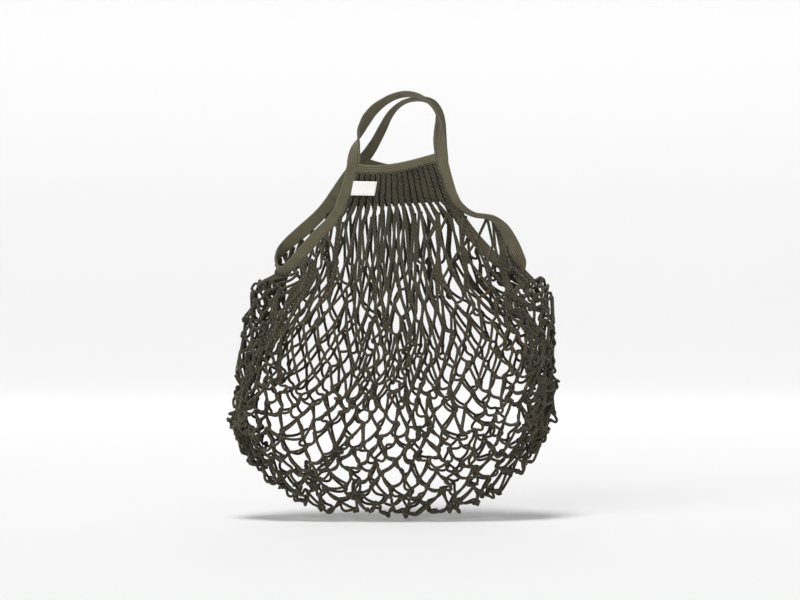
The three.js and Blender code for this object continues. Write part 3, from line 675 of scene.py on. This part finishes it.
def tape_section(half_width, half_thickness):
    """Points round a flattened tube, as (across, out) pairs, with the furrows on both faces."""
    flat = half_width - half_thickness
    face = np.linspace(flat, -flat, FACE_POINTS)
    furrow = half_thickness - RIB_RELIEF * (0.5 - 0.5 * np.cos(2 * np.pi * (face + half_width) / RIB_PITCH))
    turn = np.linspace(0, np.pi, EDGE_POINTS + 2)[1:-1]
    cap = np.stack([-flat - half_thickness * np.sin(turn), half_thickness * np.cos(turn)], axis=1)
    top = np.stack([face, furrow], axis=1)
    return np.concatenate([top, cap, -top, -cap])


def tape_ring():
    steps = np.linspace(0, TAPE_COUNT, TAPE_COUNT * RINGS_PER_ROW, endpoint=False)
    places = np.sort(np.concatenate([steps, [JOIN_PLACE - 0.01, JOIN_PLACE + 0.01]]))
    tape = tape_at(places)
    wobble = 1 + 0.015 * np.sin(places * 1.7) + 0.01 * np.sin(places * 4.3)
    joined = (places > JOIN_PLACE - JOIN_ROWS) & (places < JOIN_PLACE)
    rings = []
    for index in range(len(places)):
        extra = JOIN_STEP if joined[index] else 0
        section = tape_section(tape["half"][index] * wobble[index] + extra / 2, TAPE_THICKNESS / 2 + extra)
        rings.append(tape["point"][index] + section[:, :1] * tape["across"][index]
                     + section[:, 1:] * tape["face"][index])
    rings = np.array(rings)
    along = np.append(distances(tape["point"]), ring_length)
    around = distances(np.concatenate([rings[0], rings[0][:1]]))
    piece = swept_piece("knit_tape_ring", rings, along, around, TAPE_FINISH, closed_rings=True)
    return attach(piece, "knit_tape", "handle_front", "handle_back",
                  "slit_binding_left", "slit_binding_right")


tape_piece = tape_ring()
print("tape faces", len(tape_piece.data.polygons))

# %% [markdown]
# A row of small stitches holds the tape's folded edges together over the net. Each stitch is a short
# thread that dips into the cloth at both its ends, so all of them are one joined mesh.

# %% Stitches on the tape
STITCH_LENGTH = 2.4 * MM
STITCH_GAP = 1.0 * MM
STITCH_RADIUS = 0.28 * MM
STITCH_INSET = 2.3 * MM


def stitch_row(name, points, outs):
    """Short threads along a row of points that lies on a surface with outward directions."""
    along = distances(points)
    count = int(along[-1] / (STITCH_LENGTH + STITCH_GAP))
    ring, side = 5, 6
    turn = np.linspace(0, 2 * np.pi, side, endpoint=False)
    rise = np.sin(np.linspace(0, np.pi, ring))
    all_points, all_faces, all_uvs = [], [], []
    faces, corner_rings, corner_sides = grid_faces(ring, side)
    for index in range(count):
        start = index * (STITCH_LENGTH + STITCH_GAP)
        marks = start + np.linspace(0, STITCH_LENGTH, ring)
        centre = np.stack([np.interp(marks, along, points[:, axis]) for axis in range(3)], axis=1)
        out = unit(np.stack([np.interp(marks, along, outs[:, axis]) for axis in range(3)], axis=1))
        forward = unit(np.gradient(centre, axis=0))
        sideways = np.cross(forward, out)
        centre = centre + out * (rise * 1.4 - 0.7)[:, None] * STITCH_RADIUS
        tube = (centre[:, None] + STITCH_RADIUS * (np.cos(turn)[None, :, None] * sideways[:, None]
                + np.sin(turn)[None, :, None] * -out[:, None]))
        all_faces.append(faces + index * ring * side)
        all_points.append(tube.reshape(-1, 3))
        all_uvs.append(np.stack([marks[corner_rings], corner_sides / side], axis=-1).reshape(-1, 2))
    piece = make_piece(name, np.concatenate(all_points), np.concatenate(all_faces),
                       np.concatenate(all_uvs), YARN_FINISH)
    return attach(piece, "net_yarn")


def tape_stitches():
    places = np.linspace(0, TAPE_COUNT, 1500) % TAPE_COUNT
    tape = tape_at(places)
    rows = tape["point"] + tape["across"] * (tape["half"] - STITCH_INSET)[:, None]
    row = rows + tape["face"] * TAPE_THICKNESS / 2
    return stitch_row("tape_stitches", row, tape["face"])


tape_thread = tape_stitches()
print("stitches", len(tape_thread.data.polygons))

# %% [markdown]
# The rim bands are the same rib knit, laid sideways over the top of the ribs and sewn down. Each is
# swept from post to post and sags a little between them.

# %% Rim bands
BAND_RINGS = 80
BAND_SINK = 1.2 * MM


def rim_band(panel, side_name):
    across = np.linspace(0, 1, BAND_RINGS)
    centre = rim_point(panel, across, np.ones(BAND_RINGS), -BAND_SINK)
    along = unit(np.gradient(centre, axis=0))
    out = np.tile((0.0, float(panel), 0.0), (BAND_RINGS, 1))
    up = np.cross(out, along)
    section = tape_section(RIM_BAND_HEIGHT / 2, RIM_BAND_THICKNESS / 2)
    rings = centre[:, None] + section[None, :, :1] * up[:, None] + section[None, :, 1:] * out[:, None]
    around = distances(np.concatenate([rings[0], rings[0][:1]]))
    piece = swept_piece(f"rim_tape_{side_name}", rings, distances(centre), around, TAPE_FINISH)
    return attach(piece, "knit_tape", f"rim_band_{side_name}"), centre, out, up


for panel, side_name in ((FRONT, "front"), (BACK, "back")):
    band, seam, out, up = rim_band(panel, side_name)
    seam_row = seam - up * (RIM_BAND_HEIGHT / 2 - STITCH_INSET) + out * RIM_BAND_THICKNESS / 2
    stitch_row(f"rim_stitches_{side_name}", seam_row, out)
    print(band.name, len(band.data.polygons), "faces")

# %% [markdown]
# A yarn is a tube along a smooth line. The lines come as coarse points, a Catmull-Rom curve puts one
# more point between each two, and a frame carried along the line without twisting keeps the tube's
# sides straight. All the yarns of a piece are made at once.

# %% Yarn tubes
YARN_SIDES = 8


def smooth_step(value):
    value = np.clip(value, 0, 1)
    return value * value * (3 - 2 * value)


def smooth_lines(lines):
    """Doubles the points of many lines at once. lines has the shape (lines, points, 3)."""
    before = np.concatenate([lines[:, :1], lines[:, :-2]], axis=1)
    after = np.concatenate([lines[:, 2:], lines[:, -1:]], axis=1)
    halfway = (9 * (lines[:, :-1] + lines[:, 1:]) - before - after) / 16
    joined = np.empty((lines.shape[0], lines.shape[1] * 2 - 1, 3))
    joined[:, 0::2] = lines
    joined[:, 1::2] = halfway
    return joined


def carried_frames(lines):
    """Two directions across each line, carried along it without twist."""
    forward = unit(np.gradient(lines, axis=1))
    first = np.empty_like(lines)
    guess = np.where(np.abs(forward[:, :1, 1:2]) < 0.9, (0.0, 1.0, 0.0), (1.0, 0.0, 0.0))[:, 0]
    for index in range(lines.shape[1]):
        step = forward[:, index]
        guess = unit(guess - step * (guess * step).sum(1, keepdims=True))
        first[:, index] = guess
    return first, np.cross(forward, first)


def yarn_tubes(name, lines, radius):
    """Closed tubes along many lines, as one joined mesh."""
    turn = np.linspace(0, 2 * np.pi, YARN_SIDES, endpoint=False)
    first, second = carried_frames(lines)
    count, rings = lines.shape[:2]
    tube = (lines[:, :, None] + radius * (np.cos(turn)[:, None] * first[:, :, None]
            + np.sin(turn)[:, None] * second[:, :, None]))
    quads, corner_rings, corner_sides = grid_faces(rings, YARN_SIDES)
    faces, uvs = [], []
    for index in range(count):
        marks = distances(lines[index])
        base = index * rings * YARN_SIDES
        faces.extend((quads + base).tolist())
        faces.append([base + side for side in range(YARN_SIDES)][::-1])
        faces.append([base + (rings - 1) * YARN_SIDES + side for side in range(YARN_SIDES)])
        uvs.append(np.stack([marks[corner_rings], corner_sides / YARN_SIDES], axis=-1).reshape(-1, 2))
        uvs.append(np.zeros((2 * YARN_SIDES, 2)))
    return make_piece(name, tube.reshape(-1, 3), faces, np.concatenate(uvs), YARN_FINISH)


# %% [markdown]
# Under each rim the net's yarns run together in ribs, two yarns to a ridge, over a thin knitted
# ground that closes the gaps. The ground is a corrugated sheet, and the pairs of yarns lie on it.

# %% Ribs
RIB_STEPS = 14
RIB_TAIL_STEPS = 7
RIB_WAVE = 0.9 * MM
RIB_YARN_RADIUS = 1.3 * MM
PAIR_SPREAD = 1.12 * MM
RIM_ROW = 0.08
RIM_UNEVEN = 0.018
GROUND_INSET = 1.9 * MM
GROUND_THICKNESS = 1.4 * MM
GROUND_STEPS = 8
GROUND_COLUMNS_PER_RIB = 6
RIB_CLEARANCE = 0.8 * MM
RIB_PROUD = 1.1 * MM


def rib_end(rib):
    """The row where a rib ends and its two yarns part."""
    return RIM_ROW + RIM_UNEVEN * np.sin(2.4 * rib)


def rib_lines(panel):
    """The two yarns of each rib, from the net's first joints up to under the rim band."""
    ups = np.linspace(0.0, BAND_LOW + 0.05, RIB_STEPS)
    steps = np.arange(RIB_TAIL_STEPS + RIB_STEPS)
    proud = RIB_PROUD * smooth_step((steps - 2) / RIB_TAIL_STEPS)
    lines = []
    for rib in range(RIB_COUNT + 2):
        across = rib / (RIB_COUNT + 1)
        tails = np.linspace(rib_end(rib), 0, RIB_TAIL_STEPS, endpoint=False)
        tail = panel_point(panel, np.full(RIB_TAIL_STEPS, across), tails, RIB_CLEARANCE)
        upper = rim_point(panel, np.full(RIB_STEPS, across), ups, RIB_CLEARANCE)
        for hand in (-1, 1):
            line = np.concatenate([tail, upper])
            line[:, 0] += hand * PAIR_SPREAD + 0.2 * MM * np.sin(steps * 0.9 + rib * 1.7 + hand)
            line[:, 1] += panel * (proud + 0.15 * MM * np.cos(steps * 1.3 + rib))
            lines.append(line)
    return smooth_lines(np.array(lines))


def rib_ground(panel, name):
    columns = (RIB_COUNT + 1) * GROUND_COLUMNS_PER_RIB
    ups = np.linspace(0.02, BAND_LOW + 0.08, GROUND_STEPS)
    across, up = np.meshgrid(np.linspace(0, 1, columns + 1), ups, indexing="ij")
    sheet = rim_point(panel, across, up, -RIB_CLEARANCE) - np.array((0, panel * GROUND_INSET, 0))
    ridge = np.cos(2 * np.pi * across * (RIB_COUNT + 1))
    half = np.array((0, panel, 0)) * (GROUND_THICKNESS / 2 + RIB_WAVE * ridge[..., None] / 2)
    front_face = sheet + half
    back_face = sheet - half
    rings = np.concatenate([front_face, back_face[:, ::-1]], axis=1)
    if panel == FRONT:
        rings = rings[:, ::-1]
    sides = rings.shape[1]
    around = np.arange(sides + 1) * GATHER_HEIGHT / GROUND_STEPS
    return attach(swept_piece(name, rings, across[:, 0] * 0.1, around, YARN_FINISH), "net_yarn")


for panel, side_name in ((FRONT, "front"), (BACK, "back")):
    rib_ground(panel, f"rib_ground_{side_name}")
    ribs = yarn_tubes(f"rib_yarns_{side_name}", rib_lines(panel), RIB_YARN_RADIUS)
    attach(ribs, "net_yarn", f"gather_{side_name}")
    print(ribs.name, len(ribs.data.polygons), "faces")

# %% [markdown]
# The net is a filet of single yarns. Each yarn zigzags down its panel, and where two of them meet
# they run side by side for a few millimetres and are held together. The joints are laid out on the
# panel's surface, unevenly, and each leg between two joints starts with a length of its own. Where
# the joints hang closer than that, the leg has yarn to spare and bows, which makes the curly cells
# low in the bag. The sides stand out under the slits' ends, and the back hangs fuller low down.

# %% Layout of the joints
RIM_CELLS = RIB_COUNT + 1
SLIT_CELLS = 9
CELL_COLUMNS = RIM_CELLS + 2 * SLIT_CELLS
COLUMNS = 2 * CELL_COLUMNS
SLIT_COLUMNS = 2 * SLIT_CELLS
HALF_ROWS = 20
FULLER = 0.8
FULL_MIDDLE = np.array((-0.018, -0.240))
EDGE_CLEARANCE = 1.0 * MM
SLIT_DENSITY = {FRONT: 1.55, BACK: 2.3}
RIM_SPACING = 0.93
SLIT_SPACING = 0.6
SWELL = 2.4 * MM
RANDOM = np.random.default_rng(11)
# How wide a cell of the net is, from the middle of a panel out to its side, high up and low down.
CELL_WIDTHS = table("out top high low", [
    (0.0, 1.0, 0.95, 1.8),
    (0.18, 1.0, 1.0, 1.8),
    (0.31, 1.0, 1.35, 1.7),
    (0.44, 0.7, 1.6, 1.6),
    (0.55, 0.5, 0.95, 0.7),
    (0.66, 0.45, 0.45, 0.14),
    (0.83, 0.45, 0.3, 0.08),
    (1.0, 0.45, 0.25, 0.08),
])
FAN_STEPS = 200
fan_out = np.linspace(0, 1, FAN_STEPS)


def fanned_out(out, row):
    """How far out the columns of the net lie, as a share of the panel's half width."""
    reach = []
    for name in ("top", "high", "low"):
        widths = np.interp(fan_out, CELL_WIDTHS["out"], CELL_WIDTHS[name])
        sums = np.concatenate([[0.0], np.cumsum((widths[1:] + widths[:-1]) / 2)])
        reach.append(np.interp(np.abs(out), fan_out, sums / sums[-1]))
    upper = reach[0] + (reach[1] - reach[0]) * smooth_step((row - 0.08) / 0.24)
    return upper + (reach[2] - upper) * smooth_step((row - 0.4) / 0.5)


def uneven(shape, passes):
    """Seeded random numbers of about 1 in size, smoothed over their neighbours."""
    values = RANDOM.normal(size=shape)
    for _ in range(passes):
        padded = np.pad(values, 1, mode="edge")
        values = (padded[:-2, 1:-1] + padded[2:, 1:-1] + padded[1:-1, :-2] + padded[1:-1, 2:]
                  + 2 * values) / 6
    return values / values.std()


SHARED_SHIFT = uneven((COLUMNS + 1, HALF_ROWS + 1), 1)
SHARED_DROP = uneven((COLUMNS + 1, HALF_ROWS + 1), 1)


def row_limits(panel, row):
    """The x of a panel's middle line, of its left side and of its right side, at each row."""
    centre = BODY_OFFSET + np.interp(row, MIDDLE_LINE["row"], MIDDLE_LINE["x"]) * BODY_WIDTH
    left, right = (panel_side(panel, side, row.ravel(), EDGE_CLEARANCE)[:, 0].reshape(row.shape)
                   for side in ("left", "right"))
    return centre, left, right


def across_at(panel, x, row):
    """How far across its panel a point with this x lies, at a row."""
    centre, left, right = row_limits(panel, row)
    bunch = np.interp(row, MIDDLE_LINE["row"], MIDDLE_LINE["bunch"])
    spread = np.where(x < centre, (centre - x) / (centre - left), (x - centre) / (right - centre))
    outward = spread = np.clip(spread, 0, 1)
    for _ in range(6):
        outward = np.clip((spread + bunch * outward ** 3) / (1 + bunch), 0, 1)
    return 0.5 + 0.5 * np.where(x < centre, -outward, outward)


def slit_row(panel, share):
    """The row at which a yarn leaves the slit's tape; they crowd towards the slit's end."""
    return RIM_ROW + (SLIT_END - RIM_ROW) * (1 - (1 - np.clip(share, 0, 1)) ** SLIT_DENSITY[panel])


def outermost(panel, row):
    """How far out the last yarn is that has left the slit's tape above a row."""
    share = np.clip((row - RIM_ROW) / (SLIT_END - RIM_ROW), 0, 1)
    rim_share = RIM_CELLS / CELL_COLUMNS
    return rim_share + (1 - rim_share) * (1 - (1 - share) ** (1 / SLIT_DENSITY[panel]))


def joint_places(panel):
    """Where each joint of the net lies on its panel: across, row, depth and how far out it is."""
    column, depth = np.meshgrid(np.arange(COLUMNS + 1), np.linspace(0, 1, HALF_ROWS + 1), indexing="ij")
    past_rim = np.maximum(SLIT_COLUMNS - column, column - (COLUMNS - SLIT_COLUMNS))
    top_across = np.clip((column - SLIT_COLUMNS) / (2 * RIM_CELLS), 0, 1)
    rib = (column - SLIT_COLUMNS) / 2
    top_row = np.where(past_rim > 0, slit_row(panel, past_rim / SLIT_COLUMNS), rib_end(rib))
    rim_share = RIM_CELLS / CELL_COLUMNS
    outward = np.abs(2 * column / COLUMNS - 1)
    beyond = np.clip((outward - rim_share) / (1 - rim_share), 0, 1)
    depth = depth ** (RIM_SPACING + SLIT_SPACING * beyond)
    row = top_row + (1 - top_row) * depth
    top_x = panel_point(panel, top_across, top_row, EDGE_CLEARANCE)[..., 0]
    shift = 0.0
    if panel == BACK:
        shift = np.clip((1 - outward) * 6, 0, 1) * np.clip(depth * 4, 0, 1) * smooth_step((0.62 - depth) * 4)
    out = 2 * (column + shift) / COLUMNS - 1
    reach = np.minimum(1, fanned_out(out, row) / fanned_out(outermost(panel, row), row))
    centre, left, right = row_limits(panel, row)
    fan_x = centre + np.where(out < 0, left - centre, right - centre) * reach
    leaves_top = 1 - (1 - smooth_step(depth / 0.4)) * (1 - beyond ** 3)
    x = top_x + (fan_x - top_x) * leaves_top
    across = across_at(panel, x, row)
    across = np.where(column == 0, 0.0, np.where(column == COLUMNS, 1.0, across))
    across = np.where(depth == 0, top_across, across)
    return across, row, depth, outward


def joint_layout(panel):
    """The middle, down, side and outward directions of every joint of a panel."""
    across, row, depth, outward = joint_places(panel)
    edge = outward == 1
    slack = 0.8 * smooth_step(depth * 1.7 - 0.4) + 0.9 * outward ** 3 * smooth_step(depth * 5)
    loose = np.where(depth == 0, 0.0, 0.3 + slack)
    shift = 0.008 * SHARED_SHIFT + 0.004 * uneven(across.shape, 1)
    drop = 0.010 * SHARED_DROP + 0.005 * uneven(across.shape, 1)
    drop = drop + 0.012 * uneven(across.shape, 12) * np.clip(1 - depth, 0, 1) / np.maximum(loose, 0.3)
    across = np.clip(across + np.where(edge, 0, shift * loose), 0, 1)
    row = np.clip(row + np.where((depth == 1) & ~edge, 0, drop * loose), 0, 1)
    place = panel_point(panel, across, row, 0.4 * MM)
    if panel == BACK:
        # Low down the back hangs a little fuller, so its cells lie behind the front's.
        fuller = FULLER * np.abs(place[..., 1]) * smooth_step((depth - 0.4) / 0.3) * (1 - outward ** 2)
        place[..., ::2] += (place[..., ::2] - FULL_MIDDLE) * fuller[..., None]
    rows = slit_row(panel, 1 - np.arange(SLIT_COLUMNS) / SLIT_COLUMNS)
    place[:SLIT_COLUMNS, 0] = slit_edge(panel, "left", rows, EDGE_CLEARANCE)
    place[COLUMNS - SLIT_COLUMNS + 1:, 0] = slit_edge(panel, "right", rows[::-1], EDGE_CLEARANCE)
    down = np.gradient(place, axis=1)
    side = np.gradient(place, axis=0)
    out = unit(np.cross(side, down)) * -panel
    out = np.where((out[..., 1:2] * panel) < 0, -out, out)
    swell = SWELL * uneven(loose.shape, 1) * loose
    place = place + out * np.where(edge | (depth == 0), 0, swell)[..., None]
    side = unit(side - unit(down) * (side * unit(down)).sum(-1, keepdims=True))
    tightness = 1 - 0.22 * smooth_step((outward - 0.45) / 0.3) + 0.1 * smooth_step((depth - 0.45) / 0.3)
    return {"place": place, "down": unit(down), "side": side, "out": out, "loose": loose,
            "tightness": tightness}


print(COLUMNS, "yarns in each panel, in", HALF_ROWS, "half rows")

# %% [markdown]
# The yarns then settle. All the points of all yarns move together in small steps: each stretch is
# pulled towards its own length, the yarn straightens a little, two yarns that share a joint stay
# side by side, and each joint is drawn softly to its place. The yarns end about a twentieth shorter
# than their own length. Nothing keeps two yarns apart between their joints, so where they crowd they
# run through each other. It gives the round, uneven cells that a slack net has.

# %% Settling the yarns
LEG_LENGTH = 17.6 * MM
JOINT_HALF = 2.3 * MM
JOINT_SPREAD = 1.4 * MM
LEG_POINTS = 5
JOINT_POINTS = 3
ROW_POINTS = JOINT_POINTS + LEG_POINTS
SETTLE_STEPS = 220
STIFFNESS = 0.32
DROOP = 0.035 * MM
JOINT_HOLD = 0.16


def first_lines(layout, panel):
    """Each yarn's points before it settles, as joints and bowed legs, and its stretches' lengths."""
    yarn, row = np.meshgrid(np.arange(COLUMNS), np.arange(HALF_ROWS + 1), indexing="ij")
    joint = np.where((yarn + row) % 2 == 0, yarn, yarn + 1)
    hand = np.where(joint == yarn, 1.0, -1.0)[..., None]
    place, down, side = (layout[name][joint, row] for name in ("place", "down", "side"))
    out = layout["out"][joint, row]
    bottom = (row == HALF_ROWS)[..., None]
    down = unit(np.where(bottom, hand * np.array((-1.0, 0, 0)) + np.array((0, -panel * 0.8, 0)), down))
    side = np.where(bottom, 0.5 * np.array((0, 0, -1.0)), side)
    centre = place + side * hand * JOINT_SPREAD
    enter, leave = centre - down * JOINT_HALF, centre + down * JOINT_HALF
    share = np.linspace(0, 1, LEG_POINTS + 2)[None, None, :, None]
    start, end = leave[:, :-1, None], enter[:, 1:, None]
    chord = np.linalg.norm(end - start, axis=-1)[..., 0]
    free = LEG_LENGTH * layout["tightness"][joint, row][:, :-1]
    length = np.maximum(free * (1 + 0.06 * RANDOM.normal(size=chord.shape)), chord * 1.01)
    sway = RANDOM.normal(size=(2,) + chord.shape)[..., None, None]
    bow = np.sin(np.pi * share) * (side[:, :-1, None] * sway[0] + out[:, :-1, None] * 0.5 * sway[1])
    spare = np.sqrt(np.maximum(length - chord, 0) * length)[..., None, None]
    leg = (start + (end - start) * share + bow * spare * 0.5)[:, :, 1:-1]
    rows = np.concatenate([np.stack([enter, centre, leave], axis=2)[:, :-1], leg], axis=2)
    last = np.stack([enter[:, -1], centre[:, -1], leave[:, -1]], axis=1)
    lines = np.concatenate([rows.reshape(COLUMNS, -1, 3), last], axis=1)
    spans = np.empty((COLUMNS, HALF_ROWS, ROW_POINTS))
    spans[..., :JOINT_POINTS - 1] = JOINT_HALF
    spans[..., JOINT_POINTS - 1:] = (length / (LEG_POINTS + 1))[..., None]
    tail = np.full((COLUMNS, JOINT_POINTS - 1), JOINT_HALF)
    return lines, np.concatenate([spans.reshape(COLUMNS, -1), tail], axis=1)


def pull_joints(joints, places, holds):
    """Keeps the yarns of a joint side by side and draws each joint towards its place."""
    for odd in (0, 1):
        low = joints[1 - odd:COLUMNS - 1 + odd:2, odd::2]
        high = joints[2 - odd::2, odd::2]
        gap = high - low
        size = np.maximum(np.linalg.norm(gap, axis=-1, keepdims=True), 1e-9)
        move = gap * (1 - 2 * JOINT_SPREAD / size) / 2
        middle = (low[..., 1, :] + high[..., 1, :]) / 2
        target = places[2 - odd:COLUMNS + 1 - (1 - odd):2, odd::2]
        drawn = ((target - middle) * holds[2 - odd:COLUMNS + 1 - (1 - odd):2, odd::2, None])[..., None, :]
        low += move + drawn
        high += drawn - move
    for yarn, column in ((0, 0), (COLUMNS - 1, COLUMNS)):
        joints[yarn, 0::2] += ((places[column, 0::2] - joints[yarn, 0::2, 1]) * 0.5)[:, None]


def yarn_lines(panel):
    """The settled lines of all yarns of a panel."""
    layout = joint_layout(panel)
    lines, spans = first_lines(layout, panel)
    places = layout["place"]
    holds = np.where(layout["loose"] > 0, JOINT_HOLD / (0.5 + layout["loose"]), 1.0)
    spans = spans[..., None]
    numbers = (np.arange(HALF_ROWS + 1)[:, None] * ROW_POINTS + np.arange(JOINT_POINTS)).ravel()
    ends = np.r_[0:JOINT_POINTS, lines.shape[1] - JOINT_POINTS:lines.shape[1]]
    pinned = lines[:, ends].copy()
    for step in range(SETTLE_STEPS):
        lines[..., 2] -= DROOP * (1 - step / SETTLE_STEPS)
        lines[:, 1:-1] += STIFFNESS * ((lines[:, :-2] + lines[:, 2:]) / 2 - lines[:, 1:-1])
        joints = lines[:, numbers].reshape(COLUMNS, HALF_ROWS + 1, JOINT_POINTS, 3)
        pull_joints(joints, places, holds)
        lines[:, numbers] = joints.reshape(COLUMNS, -1, 3)
        for _ in range(2):
            for first in (0, 1):
                low, high = lines[:, first:-1:2], lines[:, first + 1::2]
                gap = high - low
                size = np.maximum(np.linalg.norm(gap, axis=-1, keepdims=True), 1e-9)
                move = gap * (1 - spans[:, first::2] / size) / 2
                low += move
                high -= move
        lines[:, ends] = pinned
    stretch = np.linalg.norm(np.diff(lines, axis=1), axis=-1).sum() / spans.sum()
    print(f"the yarns settled at {stretch:.3f} times their length")
    return smooth_lines(lines)


for panel, side_name in ((FRONT, "front"), (BACK, "back")):
    lines = yarn_lines(panel)
    for half, part in (("left", lines[:CELL_COLUMNS]), ("right", lines[CELL_COLUMNS:])):
        net = yarn_tubes(f"yarn_net_{side_name}_{half}", part, YARN_RADIUS)
        attach(net, "net_yarn", f"net_{side_name}")
        print(net.name, len(net.data.polygons), "faces")

# %% [markdown]
# The label is sewn over the first ribs, beside the left post. Its mesh is a thin pillow with soft
# edges, a little bowed, as a sewn ribbon is.

# %% The label
LABEL_COLUMNS = 26
LABEL_ROWS = 18
LABEL_LEAN = 3.2 * MM
LABEL_DIP = 0.6 * MM
LABEL_BOW = 0.35 * MM
LABEL_HALF_THICKNESS = 0.42 * MM


def sewn_label():
    low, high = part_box("sewn_label")
    width, height = high.x - low.x, high.z - low.z
    columns, rows = LABEL_COLUMNS, LABEL_ROWS
    u, v = np.meshgrid(np.linspace(0, 1, columns + 1), np.linspace(0, 1, rows + 1), indexing="ij")
    x = low.x + LABEL_LEAN * v + u * (width - LABEL_LEAN)
    z = low.z + v * (height - LABEL_DIP) + LABEL_DIP * (1 - u)
    bow = LABEL_BOW * np.sin(np.pi * u) + 0.15 * MM * np.sin(2 * np.pi * v + 1)
    edge = np.minimum(np.minimum(u, 1 - u) * columns, np.minimum(v, 1 - v) * rows)
    thick = LABEL_HALF_THICKNESS * np.clip(edge, 0.25, 1)
    middle_y = (low.y + high.y) / 2 - bow
    front = np.stack([x, middle_y - thick, z], axis=-1).reshape(-1, 3)
    back = np.stack([x, middle_y + thick, z], axis=-1).reshape(-1, 3)
    across = rows + 1
    quads = [(a * across + b, (a + 1) * across + b, (a + 1) * across + b + 1, a * across + b + 1)
             for a in range(columns) for b in range(rows)]
    count = len(front)
    faces = quads + [tuple(count + corner for corner in quad[::-1]) for quad in quads]
    rim = ([a * across for a in range(columns)] + [columns * across + b for b in range(rows)]
           + [a * across + rows for a in range(columns, 0, -1)] + [b for b in range(rows, 0, -1)])
    for here, there in zip(rim, rim[1:] + rim[:1]):
        faces.append((there, here, count + here, count + there))
    points = np.concatenate([front, back])
    uvs = np.array([points[corner][[0, 2]] for face in faces for corner in face])
    piece = make_piece("label_ribbon", points, faces, uvs, LABEL_FINISH)
    attach(piece, "label_cloth", "sewn_label")
    return piece


label_piece = sewn_label()
print("label", len(label_piece.data.polygons), "faces")

# %% [markdown]
# The stage is a plain white sweep: a floor a little under the lowest loops that curves up into a
# wall far behind the bag. Where it bends, the paper has painted shade that evens out the extra light
# there.

# %% Stage
FLOOR_DROP = 9 * MM
FLOOR_REACH = 5.0
PAPER_WHITE = 0.865
BEND_PAINTED_SHADE = 0.33
WALL_AWAY = 4.4
WALL_HEIGHT = 4.0
SWEEP_RADIUS = 1.4
SWEEP_STEPS = 24
PAINTED_SHADE_NEAR_FLOOR = 4.5
PAINTED_SHADE_NEAR_WALL = 7


def stage_finish():
    """White paper with painted shade where it bends, since both lamps reach it there."""
    material, wire, shader = new_finish("white_paper", 0.9, 0.0)
    normal = wire.node("ShaderNodeNewGeometry", {}, {}, 1)
    leaning = abs(wire.node("ShaderNodeSeparateXYZ", {}, {"Vector": normal}, 1))
    # Painted shade, strongest on the slope of the bend and none on the flat floor or the upright wall, evens
    # out the extra light that the bend gets.
    bend = (1 - (1 - leaning) ** PAINTED_SHADE_NEAR_FLOOR) * (1 - leaning ** PAINTED_SHADE_NEAR_WALL)
    shade = 1 / (1 + bend * BEND_PAINTED_SHADE)
    colour = shade.tint((0, 0, 0), (PAPER_WHITE,) * 3)
    wire.tree.links.new(colour.socket, shader.inputs["Base Color"])
    return material


def sweep():
    floor_height = cad_box[0].z - FLOOR_DROP
    turn = np.linspace(0, math.pi / 2, SWEEP_STEPS)
    bend_y = WALL_AWAY - SWEEP_RADIUS * (1 - np.sin(turn))
    bend = np.stack([bend_y, SWEEP_RADIUS * (1 - np.cos(turn))], axis=1)
    profile = np.concatenate([[(-FLOOR_REACH, 0)], bend, [(WALL_AWAY, WALL_HEIGHT)]]) + (0, floor_height)
    xs = np.array((-FLOOR_REACH, FLOOR_REACH))
    points = np.array([(x, y, z) for y, z in profile for x in xs])
    faces = [(2 * a, 2 * a + 1, 2 * a + 3, 2 * a + 2) for a in range(len(profile) - 1)]
    uvs = np.zeros((4 * len(faces), 2))
    piece = make_piece("paper_sweep", points, faces, uvs, stage_finish())
    return piece


paper = sweep()
print("floor at", round(cad_box[0].z - FLOOR_DROP, 4))

# %% [markdown]
# Two far lamps with wide, soft shadows, one nearly overhead and one from the front on the left, and
# a little light from all around give the flat light of a catalogue picture.

# %% Light
def wide_lamp(name, strength, angle, tip, turn):
    """A far lamp with soft shadows: tip is its slope from straight down, turn its side, in degrees."""
    data = bpy.data.lights.new(name, "SUN")
    data.energy = strength
    data.angle = math.radians(angle)
    lamp = bpy.data.objects.new(name, data)
    lamp.rotation_euler = (math.radians(tip), 0.0, math.radians(turn))
    bpy.context.scene.collection.objects.link(lamp)
    print(f"lamp {name}: {strength} from {tip} degrees")


WORLD_STRENGTH = 0.25
world = bpy.data.worlds.new("soft_room")
world.use_nodes = True
world.node_tree.nodes["Background"].inputs["Color"].default_value = (1, 1, 1, 1)
world.node_tree.nodes["Background"].inputs["Strength"].default_value = WORLD_STRENGTH
bpy.context.scene.world = world
wide_lamp("top_lamp", 2.1, 18, 17, -15)
wide_lamp("front_lamp", 1.46, 50, 70, -32)

# %% [markdown]
# The camera looks straight at the bag from the front, level with the middle of the picture, from far
# enough away that the two panels keep nearly the same scale.

# %% Camera
IMAGE_WIDTH = 800
IMAGE_HEIGHT = 600
MM_PER_PIXEL = 1.2
ORIGIN_PIXEL = (415, 100)
CAMERA_DISTANCE = 2.6
SENSOR = 36.0

camera_data = bpy.data.cameras.new("camera")
camera_data.sensor_width = SENSOR
camera_data.lens = SENSOR * CAMERA_DISTANCE / (IMAGE_WIDTH * MM_PER_PIXEL * MM)
camera = bpy.data.objects.new("camera", camera_data)
camera.location = ((IMAGE_WIDTH / 2 - ORIGIN_PIXEL[0]) * MM_PER_PIXEL * MM, -CAMERA_DISTANCE,
                   (ORIGIN_PIXEL[1] - IMAGE_HEIGHT / 2) * MM_PER_PIXEL * MM)
camera.rotation_euler = (math.pi / 2, 0, 0)
bpy.context.scene.collection.objects.link(camera)
bpy.context.scene.camera = camera
bpy.context.scene.view_settings.view_transform = "Standard"
print("lens", round(camera_data.lens, 1), "mm")
